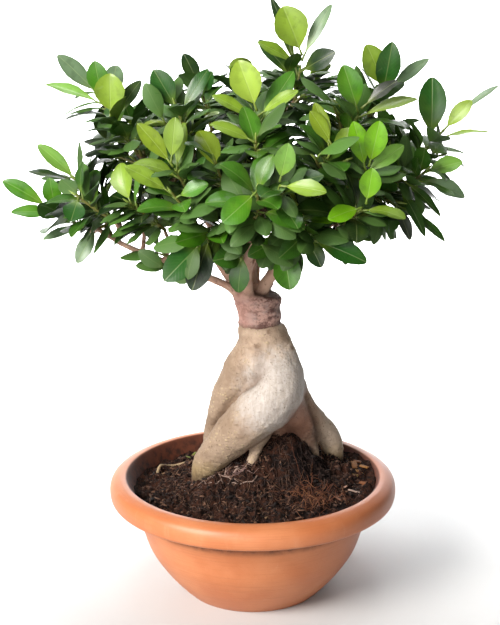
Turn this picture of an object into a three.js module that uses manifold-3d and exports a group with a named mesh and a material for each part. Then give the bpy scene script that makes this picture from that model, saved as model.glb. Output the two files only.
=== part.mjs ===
// A ginseng ficus grown as a bonsai in a round terracotta-coloured bowl.
// Swollen grafting roots stand in the soil, a cut and grafted stub sits on them, and its
// branches carry leafy shoots all round. Millimetres, +Z up, the origin in the middle of the
// bowl's underside, and the front towards -Y.
import * as THREE from "three";
import { mergeVertices } from "three/addons/utils/BufferGeometryUtils.js";
import Module from "manifold-3d";

const wasm = await Module();
wasm.setup();

// Driving dimensions of the bowl
const BOWL_HEIGHT = 92;
const RIM_RADIUS = 110;
const MOUTH_RADIUS = 96.8;
const FOOT_RADIUS = 52;
const WALL = 3.2;
const BOWL_SIDES = 32;
const DRAIN_HOLES = 4;
const DRAIN_HOLE_RADIUS = 4;
const DRAIN_CIRCLE_RADIUS = 33;
const DRAIN_SIDES = 8;

// The soil in the bowl. Its surface has rings at these shares of its radius.
const SOIL_GAP = 0.6;
const SOIL_LEVEL = 84;
const SOIL_REACH = 90;
const SOIL_RINGS = [1, 0.86, 0.72, 0.58, 0.42, 0.24, 0];

// The grafting roots, and the hole that each has in the soil
const GRAFT_HEIGHT = 210;
const ROOT_CLEARANCE = 0.5;
const ROOT_SIDES = 10;
const ROOT_STEPS = [3, 11, 8, 7, 5, 2, 6, 4];

// The stub and its branches
const STUB_CENTRE_X = 5;
const STUB_RADIUS = 16.6;
const STUB_TOP = 236;
const STUB_TOP_SLOPE = 0.2;
const STUB_STEPS = 3;
const BRANCH_SIDES = 5;
const BRANCH_STEPS = 5;
const TWIG_RADIUS = 1.5;
const TWIG_FLARE = 0.3;
const PIECE_GAP = 0.35;

// The leafy shoots point away from the heart of the crown. Their leaves stand between two shares
// of the stem's length, and on a young shoot the bright stem starts at a share of that stretch.
// Unless the shoot hangs, they turn up to the light by a share of their length.
const CROWN_HEART = new THREE.Vector3(4, 0, 275);
const SHOOT_LENGTH = 36;
const SHOOT_RADIUS = 1.7;
const SHOOT_LIFT = 0.42;
const LEAVES_PER_SHOOT = 7;
const LEAVES_FROM = 0.16;
const LEAVES_TO = 0.94;
const LEAF_SPIRAL = 137.5;
const LEAF_LIFT = 0.3;
const YOUNG_LEAVES = 3;
const YOUNG_STEM_FROM = 0.61;

// A leaf: its stalk ends at a share of its length, and each row of its outline is at a share of
// the length and has a share of the width. Room is kept round it from a little way along.
const LEAF_LENGTH = 35;
const LEAF_WIDTH_SHARE = 0.52;
const LEAF_THICKNESS = 0.7;
const LEAF_CLEARANCE = 0.45;
const LEAF_ARCH = 0.25;
const LEAF_ROWS = [
  { along: 0.5, share: 0.95 },
  { along: 0.81, share: 0.84 },
];
const STALK_END = 0.17;
const STALK_WIDTH = 2.2;
const STALK_DEPTH = 1.1;
const STALK_SUNK = 1;
const STALK_FREE = 0.08;

const UP = new THREE.Vector3(0, 0, 1);
const radians = THREE.MathUtils.degToRad;
const lerp = THREE.MathUtils.lerp;
const vector = ([x, y, z]) => new THREE.Vector3(x, y, z);

// Solids and meshes

function solidOf(geometry) {
  const bare = geometry.clone();
  bare.deleteAttribute("normal");
  bare.deleteAttribute("uv");
  const merged = mergeVertices(bare, 1e-4);
  return new wasm.Manifold(
    new wasm.Mesh({
      numProp: 3,
      vertProperties: new Float32Array(merged.attributes.position.array),
      triVerts: new Uint32Array(merged.index.array),
    }),
  );
}

function geometryOf(solid) {
  const mesh = solid.getMesh();
  const geometry = new THREE.BufferGeometry();
  geometry.setAttribute("position", new THREE.BufferAttribute(mesh.vertProperties, 3));
  geometry.setIndex(new THREE.BufferAttribute(mesh.triVerts, 1));
  geometry.computeVertexNormals();
  return geometry;
}

function overlaps(a, b) {
  return a.intersect(b).volume() > 0;
}

function joined(solids) {
  return solids.reduce((whole, next) => whole.add(next));
}

function move(geometry, place) {
  const position = geometry.attributes.position;
  for (let i = 0; i < position.count; i++) {
    const p = place(new THREE.Vector3().fromBufferAttribute(position, i));
    position.setXYZ(i, p.x, p.y, p.z);
  }
  return geometry;
}

// Seeded random numbers from 0 to 1
function dice(seed) {
  let state = (seed * 7919 + 104729) % 4294967296;
  return () => {
    state = (state * 1664525 + 1013904223) % 4294967296;
    return state / 4294967296;
  };
}

function spread(roll, reach) {
  return (roll() * 2 - 1) * reach;
}

// A closed round limb along a curve: a cylinder bent onto it, with a radius at each step
function limbSolid(curve, radiusAt, sides, steps) {
  const rings = [];
  let side = new THREE.Vector3(0.3, 1, 0.1);
  for (let i = 0; i <= steps; i++) {
    const tangent = curve.getTangent(i / steps);
    side = side.clone().addScaledVector(tangent, -side.dot(tangent)).normalize();
    const across = side.clone().cross(tangent);
    rings.push({ centre: curve.getPoint(i / steps), side, across, radius: radiusAt(i / steps) });
  }
  const cylinder = new THREE.CylinderGeometry(1, 1, 1, sides, steps);
  move(cylinder, (p) => {
    const ring = rings[Math.round((p.y + 0.5) * steps)];
    return ring.centre
      .clone()
      .addScaledVector(ring.side, p.x * ring.radius)
      .addScaledVector(ring.across, p.z * ring.radius);
  });
  return solidOf(cylinder);
}

// A limb through knots, each a place and a radius there
function curveThrough(knots) {
  return new THREE.CatmullRomCurve3(knots.map(vector));
}

function radiusThrough(knots) {
  return (t) => {
    const place = t * (knots.length - 1);
    const knot = Math.min(Math.floor(place), knots.length - 2);
    return lerp(knots[knot][3], knots[knot + 1][3], place - knot);
  };
}

// The bowl, a turned profile with a rolled rim that is hollow underneath

const WALL_INSIDE = [
  [50, WALL],
  [66, 20],
  [75.8, 35],
  [81.4, 50],
  [88.4, 74],
  [MOUTH_RADIUS, BOWL_HEIGHT - 1],
];

const WALL_OUTSIDE = [
  [FOOT_RADIUS, 0],
  [60, 8],
  [69.9, 20],
  [79.4, 35],
  [84.9, 50],
  [92.4, 76],
  [96.8, 84.4],
];

const RIM = [
  [100.5, 88.4],
  [104.8, 86],
  [104.8, 75.4],
  [107.2, 74.6],
  [RIM_RADIUS, 82],
  [RIM_RADIUS - 2, 88.4],
  [102, BOWL_HEIGHT],
];

function bowl() {
  const inside = [...WALL_INSIDE].reverse();
  const outline = [[0, 0], ...WALL_OUTSIDE, ...RIM, ...inside, [0, WALL]];
  const profile = outline.map(([radius, height]) => new THREE.Vector2(radius, height));
  const turned = new THREE.LatheGeometry(profile, BOWL_SIDES);
  turned.rotateX(Math.PI / 2);
  let shell = solidOf(turned);
  for (let i = 0; i < DRAIN_HOLES; i++) {
    const angle = ((i + 0.5) / DRAIN_HOLES) * Math.PI * 2;
    const drill = new THREE.CylinderGeometry(DRAIN_HOLE_RADIUS, DRAIN_HOLE_RADIUS, 4 * WALL, DRAIN_SIDES);
    drill.rotateX(Math.PI / 2);
    drill.translate(Math.cos(angle) * DRAIN_CIRCLE_RADIUS, Math.sin(angle) * DRAIN_CIRCLE_RADIUS, 0);
    shell = shell.subtract(solidOf(drill));
  }
  return shell;
}

// The soil: it fills the bowl, is mounded round the roots and rises towards the right. The
// corners of the bowl's wall that its side follows are numbered, and the rings of its surface
// stand far above in the turned profile until each point gets its height.
const SOIL_SIDES = [0, 1, 3, 4];
const RING_MARK = 10 * BOWL_HEIGHT;

function wallRadius(height) {
  for (let i = 1; i < WALL_INSIDE.length; i++) {
    const [lowRadius, low] = WALL_INSIDE[i - 1];
    const [highRadius, high] = WALL_INSIDE[i];
    if (height <= high) return lerp(lowRadius, highRadius, (height - low) / (high - low));
  }
  return MOUTH_RADIUS;
}

function mound(x, y, centreX, centreY, reach) {
  return Math.exp(-((x - centreX) ** 2 + (y - centreY) ** 2) / (2 * reach * reach));
}

function soilHeight(x, y) {
  const slope = 3.5 * Math.tanh(x / 45) - 1.5 * Math.tanh(y / 60);
  const hill = 30 * mound(x, y, 24, 8, 19) + 19 * mound(x, y, -12, 1, 25) + 6 * mound(x, y, 62, 24, 20);
  const clods = 1.5 * Math.sin(x / 5.3 + 2 * Math.sin(y / 9)) * Math.cos(y / 6.1 - 1.3 * Math.sin(x / 11));
  return SOIL_LEVEL + slope + hill + clods;
}

function soil(roots) {
  const sides = WALL_INSIDE.filter((_, i) => SOIL_SIDES.includes(i));
  const below = sides.map(([radius, height]) => [radius - SOIL_GAP, height + SOIL_GAP]);
  const above = SOIL_RINGS.map((share, ring) => [share, RING_MARK + ring]);
  const outline = [[0, WALL + SOIL_GAP], ...below, ...above];
  const profile = outline.map(([radius, height]) => new THREE.Vector2(radius, height));
  const turned = new THREE.LatheGeometry(profile, BOWL_SIDES);
  turned.rotateX(Math.PI / 2);
  move(turned, (p) => {
    const ring = Math.round(p.z - RING_MARK);
    if (ring < 0) return p;
    const angle = Math.atan2(p.y, p.x);
    const edge = soilHeight(SOIL_REACH * Math.cos(angle), SOIL_REACH * Math.sin(angle));
    const radius = SOIL_RINGS[ring] * (wallRadius(edge) - SOIL_GAP);
    const x = Math.cos(angle) * radius;
    const y = Math.sin(angle) * radius;
    return new THREE.Vector3(x, y, ring === 0 ? edge : soilHeight(x, y));
  });
  return solidOf(turned).subtract(roots);
}

// The grafting roots: knots are x, y, z and the radius there

const ROOTS = {
  neck: [
    [6, 0, 212, 16.6],
    [7, 0, 204, 17.6],
    [9, -1, 194, 18.6],
    [10, -2, 182, 17],
  ],
  front_leg: [
    [10, -2, 196, 15],
    [15, -4, 185, 18],
    [19, -7, 173, 20.4],
    [18, -10, 161, 21.6],
    [11, -12, 152, 20.8],
    [2, -13, 144, 19],
    [-7, -12, 134, 17.4],
    [-17, -10, 123, 15.2],
    [-27, -7, 112, 13],
    [-35, -4, 101, 11],
    [-39, -1, 91, 9.4],
    [-41, 1, 78, 6.4],
  ],
  left_leg: [
    [6, 2, 198, 15],
    [1, 4, 184, 16.2],
    [-6, 8, 170, 16],
    [-15, 10, 154, 14.4],
    [-22, 13, 138, 12.8],
    [-26, 17, 124, 11.2],
    [-29, 21, 112, 9.8],
    [-31, 25, 98, 8.4],
    [-32, 28, 80, 6],
  ],
  outer_leg: [
    [27, 1, 166, 12],
    [32, 6, 152, 12],
    [39, 12, 138, 10.8],
    [48, 19, 127, 10],
    [57, 25, 116, 9.6],
    [62, 28, 106, 9],
    [64, 30, 94, 8.4],
    [65, 31, 78, 6],
  ],
  inner_leg: [
    [24, -2, 154, 12],
    [31, 1, 142, 10.8],
    [37, 4, 131, 9.8],
    [42, 8, 120, 9],
    [46, 11, 107, 8],
    [47, 13, 84, 6],
  ],
  centre_leg: [
    [19, 0, 152, 14],
    [21, 5, 137, 12],
    [23, 9, 122, 10.4],
    [24, 12, 100, 8],
  ],
  back_leg: [
    [6, 8, 186, 13],
    [6, 18, 168, 14],
    [2, 29, 148, 12.6],
    [-1, 38, 126, 10.6],
    [-2, 45, 104, 9],
    [-3, 49, 80, 6],
  ],
  small_root: [
    [11, -6, 132, 6.4],
    [4, -9, 118, 5],
    [-1, -14, 106, 4],
    [-5, -18, 92, 3],
    [-6, -20, 80, 2.4],
  ],
};

// Old bark swells and dips a little from place to place
function swelling(t, phase) {
  return 1 + 0.025 * Math.sin(t * 17 + phase) + 0.015 * Math.sin(t * 31 + 2.3 * phase);
}

function rootstock(extra) {
  const legs = Object.values(ROOTS).map((knots, i) => {
    const radiusAt = radiusThrough(knots);
    const swollen = (t) => radiusAt(t) * (t > 0 ? swelling(t, i) : 1) + extra;
    return limbSolid(curveThrough(knots), swollen, ROOT_SIDES, ROOT_STEPS[i]);
  });
  const cut = new THREE.BoxGeometry(4 * STUB_RADIUS, 4 * STUB_RADIUS, STUB_RADIUS);
  cut.translate(STUB_CENTRE_X, 0, GRAFT_HEIGHT + STUB_RADIUS / 2);
  return joined(legs).subtract(solidOf(cut));
}

// The stub and the branches that grow from its cut top

const BRANCHES = {
  left_low: [
    [-8, -5, 231, 3.8],
    [-20, -9, 243, 3],
    [-52, -18, 258, 2.5],
    [-90, -20, 274, 2.1],
    [-116, -14, 288, 1.7],
  ],
  left: [
    [-6, 0, 229, 6.6],
    [-18, 1, 250, 5],
    [-42, 2, 282, 3.8],
    [-66, -2, 312, 2.8],
    [-82, -6, 340, 2],
  ],
  centre: [
    [-1, 2, 229, 6.4],
    [-2, 3, 256, 4.8],
    [4, -2, 298, 3.8],
    [12, -4, 340, 2.8],
    [24, -2, 374, 2],
  ],
  right: [
    [2, -3, 229, 5.4],
    [16, -6, 252, 4.2],
    [52, -10, 286, 3.3],
    [86, -12, 312, 2.6],
    [108, -6, 334, 1.9],
  ],
  front: [
    [-3, -7, 230, 4.4],
    [-4, -24, 256, 3.5],
    [0, -48, 286, 2.8],
    [8, -66, 312, 2.1],
  ],
  back_left: [
    [-5, 5, 230, 5],
    [-16, 24, 254, 3.8],
    [-40, 52, 288, 3],
    [-60, 66, 318, 2.3],
    [-68, 66, 344, 1.8],
  ],
  back: [
    [0, 7, 230, 5],
    [2, 30, 258, 3.8],
    [4, 56, 296, 2.9],
    [4, 66, 334, 2.2],
  ],
  back_right: [
    [5, 5, 230, 5],
    [20, 22, 254, 3.8],
    [48, 48, 288, 3],
    [70, 60, 318, 2.3],
    [80, 56, 344, 1.8],
  ],
};

// Each shoot: its tip, the branch that feeds it and how far along that branch its twig leaves.
// A young shoot ends in bright new leaves, and a hanging one bends down. Its leading leaves
// reach to the places given: x, y, z, then the leaf's width and how much it faces the front.
const SHOOTS = [
  {
    tip: [-104, -10, 370],
    branch: "left",
    at: 1,
    young: true,
    leads: [[-101, -14, 398, 22, 0.9], [-80, 0, 392, 11, 0.5]],
  },
  {
    tip: [-114, 14, 382],
    branch: "left",
    at: 0.9,
    leads: [
      [-141, 10, 409, 14, 0.6],
      [-114, 8, 405, 16, 0.8],
      [-152, 20, 387, 10, 0.4],
      [-94, 22, 402, 16, 0.7],
    ],
  },
  {
    tip: [-54, -30, 377],
    branch: "left",
    at: 0.8,
    leads: [[-69, -30, 402, 17, 0.8], [-31, -24, 402, 11, 0.6]],
  },
  {
    tip: [-57, -72, 346],
    branch: "left",
    at: 0.75,
    young: true,
    leads: [[-52, -72, 374, 14, 0.9], [-78, -66, 369, 13, 0.6], [-38, -66, 367, 9, 0.5]],
  },
  {
    tip: [-131, 5, 320],
    branch: "left_low",
    at: 0.85,
    leads: [[-157, 5, 345, 12, 0.6], [-164, -2, 326, 9, 0.3]],
  },
  {
    tip: [-150, -10, 302],
    branch: "left_low",
    at: 1,
    young: true,
    leads: [[-181, -10, 321, 13, 0.6], [-146, -16, 324, 14, 0.8], [-174, -22, 300, 11, 0.5]],
  },
  {
    tip: [-126, -38, 316],
    branch: "left_low",
    at: 0.85,
    leads: [[-127, -52, 299, 16, 0.9]],
  },
  {
    tip: [-119, -24, 289],
    branch: "left_low",
    at: 0.7,
    hanging: true,
    leads: [[-151, -28, 281, 9, 0.4], [-126, -34, 265, 12, 0.7]],
  },
  {
    tip: [-56, -76, 325],
    branch: "left",
    at: 0.6,
    leads: [[-86, -80, 342, 12, 0.6], [-30, -78, 330, 12, 0.6]],
  },
  {
    tip: [-33, -68, 290],
    branch: "front",
    at: 0.35,
    hanging: true,
    leads: [
      [-61, -80, 263, 20, 0.8],
      [-42, -76, 255, 19, 0.8],
      [-52, -90, 292, 14, 0.8],
      [-20, -90, 292, 16, 0.8],
      [-26, -72, 268, 14, 0.7],
    ],
  },
  {
    tip: [3, -50, 379],
    branch: "centre",
    at: 0.75,
    young: true,
    leads: [
      [-10, -52, 410, 22, 0.9],
      [31, -56, 390, 10, 0.5],
      [-28, -48, 386, 10, 0.5],
      [21, -44, 406, 15, 0.7],
    ],
  },
  {
    tip: [2, -72, 360],
    branch: "centre",
    at: 0.6,
    leads: [[-28, -76, 370, 11, 0.5]],
  },
  {
    tip: [18, -104, 338],
    branch: "front",
    at: 1,
    young: true,
    leads: [[23, -112, 362, 14, 0.9], [48, -112, 330, 12, 0.6], [6, -100, 370, 17, 0.9]],
  },
  {
    tip: [36, 0, 413],
    branch: "centre",
    at: 1,
    young: true,
    leads: [
      [21, -6, 444, 25, 0.8],
      [56, 4, 445, 10, 0.5],
      [3, -4, 419, 10, 0.5],
      [58, -16, 413, 15, 0.7],
      [2, 12, 447, 9, 0.4],
      [12, 8, 426, 11, 0.6],
    ],
  },
  {
    tip: [99, 12, 386],
    branch: "right",
    at: 1,
    young: true,
    leads: [[81, 2, 417, 19, 0.8], [128, 16, 406, 10, 0.5], [97, 12, 421, 18, 0.9]],
  },
  {
    tip: [77, -36, 379],
    branch: "right",
    at: 0.75,
    young: true,
    leads: [[100, -36, 395, 9, 0.5], [62, -40, 406, 18, 0.8], [112, -30, 391, 11, 0.4]],
  },
  {
    tip: [55, -78, 358],
    branch: "centre",
    at: 0.6,
    young: true,
    leads: [[38, -80, 379, 11, 0.7], [48, -82, 385, 11, 0.7]],
  },
  {
    tip: [80, -78, 344],
    branch: "right",
    at: 0.65,
    young: true,
    leads: [[84, -84, 373, 16, 0.9], [67, -78, 372, 14, 0.8], [100, -74, 358, 12, 0.7]],
  },
  {
    tip: [78, -88, 320],
    branch: "right",
    at: 0.6,
    young: true,
    leads: [[79, -94, 343, 15, 0.9], [50, -96, 309, 13, 0.6]],
  },
  {
    tip: [140, 0, 358],
    branch: "right",
    at: 1,
    young: true,
    leads: [
      [157, -4, 378, 12, 0.6],
      [181, 24, 386, 7, 0.3],
      [168, -16, 366, 7, 0.3],
      [129, 4, 394, 21, 0.8],
    ],
  },
  {
    tip: [123, -26, 331],
    branch: "right",
    at: 0.9,
    leads: [[149, -24, 337, 13, 0.6], [151, -30, 312, 13, 0.5], [145, -44, 309, 7, 0.3]],
  },
  {
    tip: [103, -44, 311],
    branch: "right",
    at: 0.75,
    hanging: true,
    leads: [[110, -54, 286, 9, 0.4], [136, -44, 283, 9, 0.4]],
  },
  {
    tip: [40, -72, 289],
    branch: "front",
    at: 0.35,
    hanging: true,
    leads: [[78, -80, 276, 16, 0.6], [47, -78, 272, 13, 0.7]],
  },
  {
    tip: [22, -58, 283],
    branch: "front",
    at: 0.25,
    hanging: true,
    leads: [[26, -66, 253, 20, 0.9]],
  },
  {
    tip: [3, -104, 332],
    branch: "front",
    at: 0.85,
    leads: [[-20, -112, 310, 18, 0.9]],
  },
  { tip: [-26, -64, 344], branch: "front", at: 0.8 },
  { tip: [54, -56, 330], branch: "right", at: 0.4 },
  { tip: [34, -66, 306], branch: "front", at: 0.55 },
  { tip: [-88, -46, 312], branch: "left_low", at: 0.6 },
  { tip: [-8, -58, 274], branch: "front", at: 0.3, hanging: true },
  {
    tip: [106, -34, 330],
    branch: "right",
    at: 0.8,
    leads: [[132, -44, 301, 8, 0.4], [120, -56, 289, 9, 0.4]],
  },
  { tip: [-112, 42, 342], branch: "back_left", at: 0.85 },
  { tip: [-97, 77, 353], branch: "back_left", at: 1 },
  { tip: [-58, 106, 338], branch: "back_left", at: 0.8 },
  {
    tip: [-40, 50, 384],
    branch: "back_left",
    at: 1,
    leads: [[-52, 50, 407, 13, 0.6], [-30, 36, 395, 12, 0.6]],
  },
  { tip: [-12, 112, 358], branch: "back", at: 0.9 },
  { tip: [-8, 60, 385], branch: "back", at: 1 },
  { tip: [26, 114, 316], branch: "back", at: 0.6 },
  { tip: [44, 88, 386], branch: "back", at: 1, young: true },
  { tip: [80, 100, 344], branch: "back_right", at: 0.85 },
  { tip: [108, 62, 345], branch: "back_right", at: 1 },
  { tip: [108, 56, 312], branch: "back_right", at: 0.6 },
];

function stubSolid() {
  const height = STUB_TOP - GRAFT_HEIGHT - PIECE_GAP;
  const stub = new THREE.CylinderGeometry(0.97 * STUB_RADIUS, STUB_RADIUS, height, ROOT_SIDES, STUB_STEPS);
  stub.rotateX(Math.PI / 2);
  move(stub, (p) => {
    const share = p.z / height + 0.5;
    const knobbly = 1 + 0.05 * Math.sin(3 * Math.atan2(p.y, p.x) + 9 * share) * Math.sin(Math.PI * share);
    const top = Math.round(share * STUB_STEPS) === STUB_STEPS ? -STUB_TOP_SLOPE * p.x : 0;
    return new THREE.Vector3(p.x * knobbly, p.y * knobbly, p.z + top);
  });
  stub.translate(STUB_CENTRE_X, 0, STUB_TOP - height / 2);
  return solidOf(stub);
}

// Where each shoot starts, and the way that it points
function aimed(shoot, number) {
  const tip = vector(shoot.tip);
  const away = tip.clone().sub(CROWN_HEART).normalize();
  const lift = shoot.hanging ? -SHOOT_LIFT : SHOOT_LIFT;
  const direction = away.addScaledVector(UP, lift).normalize();
  const base = tip.clone().addScaledVector(direction, -SHOOT_LENGTH);
  return { ...shoot, number, tip, direction, base };
}

// Each twig bends as far aside as it needs to pass the stems of the other shoots, and it runs
// straight into its own shoot
const TWIG_BENDS = [0, 5, -5, 10, -10, 15, -15, 20, -20, 26, -26, 32, -32];

function twigSolid(shoot, stems) {
  const start = curveThrough(BRANCHES[shoot.branch]).getPoint(shoot.at * 0.97);
  const end = shoot.base.clone().addScaledVector(shoot.direction, -PIECE_GAP);
  const side = shoot.direction.clone().cross(UP).normalize();
  const others = stems.filter((stem) => stem.shoot !== shoot).map((stem) => stem.solid);
  const straight = end.clone().addScaledVector(shoot.direction, -0.4 * start.distanceTo(end));
  const twig = (aside, margin) => {
    const bend = start.clone().lerp(end, 0.35).addScaledVector(side, aside);
    const curve = new THREE.CubicBezierCurve3(start, bend, straight, end);
    const radiusAt = (t) => TWIG_RADIUS + TWIG_FLARE * (1 - t) + margin;
    return limbSolid(curve, radiusAt, 3, 2);
  };
  const clear = TWIG_BENDS.find((aside) => {
    const roomy = twig(aside, 2 * PIECE_GAP);
    return !others.some((stem) => overlaps(stem, roomy));
  });
  return twig(clear ?? 0, 0);
}

function wood(shoots, stems) {
  const limbs = Object.values(BRANCHES).map((knots) =>
    limbSolid(curveThrough(knots), radiusThrough(knots), BRANCH_SIDES, BRANCH_STEPS),
  );
  return joined([stubSolid(), ...limbs, ...shoots.map((shoot) => twigSolid(shoot, stems))]);
}

// Every leaf of a shoot, from its base to its tip, before room is found for it. The leading
// leaves are the last ones.
function leavesOf(shoot) {
  const roll = dice(shoot.number);
  const turn = 360 * roll();
  const leads = shoot.leads ?? [];
  return Array.from({ length: LEAVES_PER_SHOOT }, (_, k) => {
    const along = (k + 0.5) / LEAVES_PER_SHOOT;
    const azimuth = turn + k * LEAF_SPIRAL + spread(roll, 12);
    const open = lerp(84, 34, along) + spread(roll, 7);
    const length = LEAF_LENGTH * lerp(1.06, 0.8, along) * (1 + spread(roll, 0.1));
    const width = length * (LEAF_WIDTH_SHARE + spread(roll, 0.05));
    const droop = 0.1 + 0.16 * roll();
    const root = shoot.base.clone();
    root.addScaledVector(shoot.direction, SHOOT_LENGTH * lerp(LEAVES_FROM, LEAVES_TO, along));
    const facing = shoot.direction.clone().addScaledVector(UP, 0.6);
    const lead = leads[LEAVES_PER_SHOOT - 1 - k];
    if (!lead) return { k, root, reach: headingOf(shoot, azimuth, open), facing, length, width, droop };
    const reach = vector(lead).sub(root);
    const front = new THREE.Vector3(0, -lead[4], 1 - lead[4]);
    return { k, root, reach, facing: front, length: reach.length(), width: lead[3], droop: 0 };
  });
}

// The direction at an azimuth round a shoot's stem and an angle that opens from the stem, turned
// up to the light unless the shoot hangs
function headingOf(shoot, azimuth, open) {
  const side = shoot.direction.clone().cross(UP).normalize();
  const front = side.clone().cross(shoot.direction);
  const outward = side.multiplyScalar(Math.cos(radians(azimuth)));
  outward.addScaledVector(front, Math.sin(radians(azimuth))).multiplyScalar(Math.sin(radians(open)));
  outward.addScaledVector(shoot.direction, Math.cos(radians(open)));
  return shoot.hanging ? outward : outward.addScaledVector(UP, LEAF_LIFT).normalize();
}

// The ways in which a leaf may turn aside to clear its neighbours: round its stem, then away
// from it, in degrees
const TURNS_ASIDE = [
  [0, 0],
  [20, -6],
  [-20, -6],
  [0, -16],
  [0, 14],
  [38, 4],
  [-38, 4],
];

// A leaf's root and its three directions: along it, across it and up from its upper side
function poseOf(shoot, leaf, [aside, opening]) {
  const along = leaf.reach.clone().normalize().applyAxisAngle(shoot.direction, radians(aside));
  const hinge = shoot.direction.clone().cross(along).normalize();
  along.applyAxisAngle(hinge, radians(opening));
  const up = leaf.facing.clone().addScaledVector(along, -leaf.facing.dot(along)).normalize();
  return { root: leaf.root, along, across: along.clone().cross(up), up };
}

// A closed leaf from its sunk point through its three-sided stalk to its tip, arched along its
// length. The ring of four corners at each row is right and left above, then left and right below.
function leafSolid(pose, leaf, margin) {
  const place = (along, across, up) => {
    const arch = leaf.length * along * (LEAF_ARCH - (LEAF_ARCH + leaf.droop) * along);
    return pose.root
      .clone()
      .addScaledVector(pose.along, along * leaf.length)
      .addScaledVector(pose.across, across)
      .addScaledVector(pose.up, up + arch)
      .toArray();
  };
  const half = LEAF_THICKNESS / 2 + margin;
  const stalk = STALK_WIDTH / 2 + margin;
  const corners = [
    place(margin > 0 ? STALK_FREE : -STALK_SUNK / leaf.length, 0, 0),
    place(STALK_END, stalk, half),
    place(STALK_END, -stalk, half),
    place(STALK_END, 0, half - STALK_DEPTH - margin),
  ];
  for (const { along, share } of LEAF_ROWS) {
    const side = (share * leaf.width) / 2 + margin;
    corners.push(place(along, side, half), place(along, -side, half));
    corners.push(place(along, -side, -half), place(along, side, -half));
  }
  corners.push(place(1, 0, half), place(1, 0, -half));
  const faces = [
    [0, 1, 2],
    [0, 2, 3],
    [0, 3, 1],
    [1, 4, 5],
    [1, 5, 2],
    [2, 5, 6],
    [2, 6, 3],
    [3, 6, 7],
    [3, 7, 1],
    [1, 7, 4],
  ];
  for (let k = 0; k < 4; k++) {
    const next = (k + 1) % 4;
    faces.push([4 + k, 8 + k, 8 + next], [4 + k, 8 + next, 4 + next]);
  }
  faces.push([8, 12, 9], [9, 12, 13], [9, 13, 10], [10, 13, 11], [11, 13, 12], [11, 12, 8]);
  const blade = new THREE.BufferGeometry();
  blade.setAttribute("position", new THREE.Float32BufferAttribute(corners.flat(), 3));
  blade.setIndex(faces.flat());
  return solidOf(blade);
}

// A leafy shoot's stem between two shares of its length, thinning to its bud
function stemSolid(shoot, from, to) {
  const start = shoot.base.clone().addScaledVector(shoot.direction, from * SHOOT_LENGTH);
  const end = shoot.base.clone().addScaledVector(shoot.direction, to * SHOOT_LENGTH);
  const line = new THREE.LineCurve3(start, end);
  const radiusAt = (t) => SHOOT_RADIUS * (1 - 0.75 * lerp(from, to, t) ** 3);
  return limbSolid(line, radiusAt, 4, 1);
}

// A young shoot's stem is in two pieces, the mature one below and the young one above
function stemsOf(shoot) {
  if (!shoot.young) return [{ shoot, young: false, solid: stemSolid(shoot, 0, 1) }];
  const split = lerp(LEAVES_FROM, LEAVES_TO, YOUNG_STEM_FROM);
  return [
    { shoot, young: false, solid: stemSolid(shoot, 0, split) },
    { shoot, young: true, solid: stemSolid(shoot, split + PIECE_GAP / SHOOT_LENGTH, 1) },
  ];
}

// The leaves are placed one a shoot at a time, from the tips inwards, so that the leading leaves
// come first and every shoot gets its share of the room
function grow(shoots, stems, branches) {
  const placed = [];
  const blocked = ({ shoot, young, middle, reach, solid }, room) =>
    placed.some((other) => {
      const near = other.middle.distanceTo(middle) < other.reach + reach;
      return near && overlaps(other.solid, room);
    }) ||
    stems.some((stem) => {
      if (stem.shoot === shoot) return stem.young !== young && overlaps(stem.solid, solid);
      const near = stem.shoot.tip.distanceTo(middle) < SHOOT_LENGTH + reach;
      return near && overlaps(stem.solid, room);
    }) ||
    overlaps(branches, room);
  for (let k = LEAVES_PER_SHOOT - 1; k >= 0; k--) {
    for (const shoot of shoots) {
      const leaf = leavesOf(shoot)[k];
      const reach = 0.6 * leaf.length;
      const young = k >= LEAVES_PER_SHOOT - YOUNG_LEAVES && Boolean(shoot.young);
      for (const aside of TURNS_ASIDE) {
        const pose = poseOf(shoot, leaf, aside);
        const middle = pose.root.clone().addScaledVector(pose.along, leaf.length / 2);
        const leafy = { shoot, young, middle, reach, solid: leafSolid(pose, leaf, 0) };
        if (blocked(leafy, leafSolid(pose, leaf, LEAF_CLEARANCE))) continue;
        placed.push(leafy);
        break;
      }
    }
  }
  return placed;
}

// The whole plant in its bowl

const terracotta = new THREE.MeshStandardMaterial({ color: "#d9814f", roughness: 0.55, metalness: 0 });
const peat = new THREE.MeshStandardMaterial({ color: "#33211a", roughness: 0.95, metalness: 0 });
const paleBark = new THREE.MeshStandardMaterial({ color: "#b8a48c", roughness: 0.8, metalness: 0 });
const brownBark = new THREE.MeshStandardMaterial({ color: "#93705d", roughness: 0.85, metalness: 0 });
const matureLeaf = new THREE.MeshStandardMaterial({ color: "#2f5a25", roughness: 0.4, metalness: 0 });
const youngLeaf = new THREE.MeshStandardMaterial({ color: "#8fbf34", roughness: 0.4, metalness: 0 });

function named(name, solid, material) {
  const mesh = new THREE.Mesh(geometryOf(solid), material);
  mesh.name = name;
  return mesh;
}

const shoots = SHOOTS.map((shoot, i) => aimed(shoot, i + 1));
const stems = shoots.flatMap(stemsOf);
const branches = wood(shoots, stems);
const leaves = grow(shoots, stems, branches);

const ficus = new THREE.Group();
ficus.name = "ficus_ginseng_bonsai";
ficus.add(named("bowl", bowl(), terracotta));
ficus.add(named("soil", soil(rootstock(ROOT_CLEARANCE)), peat));
ficus.add(named("grafting_roots", rootstock(0), paleBark));
ficus.add(named("stub_and_branches", branches, brownBark));

for (const { shoot, young, solid } of stems) {
  const own = leaves.filter((leaf) => leaf.shoot === shoot && leaf.young === young);
  const name = (young ? "young_leaves_" : "leafy_shoot_") + String(shoot.number).padStart(2, "0");
  const whole = joined([solid, ...own.map((leaf) => leaf.solid)]);
  ficus.add(named(name, whole, young ? youngLeaf : matureLeaf));
}

export default ficus;
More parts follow.
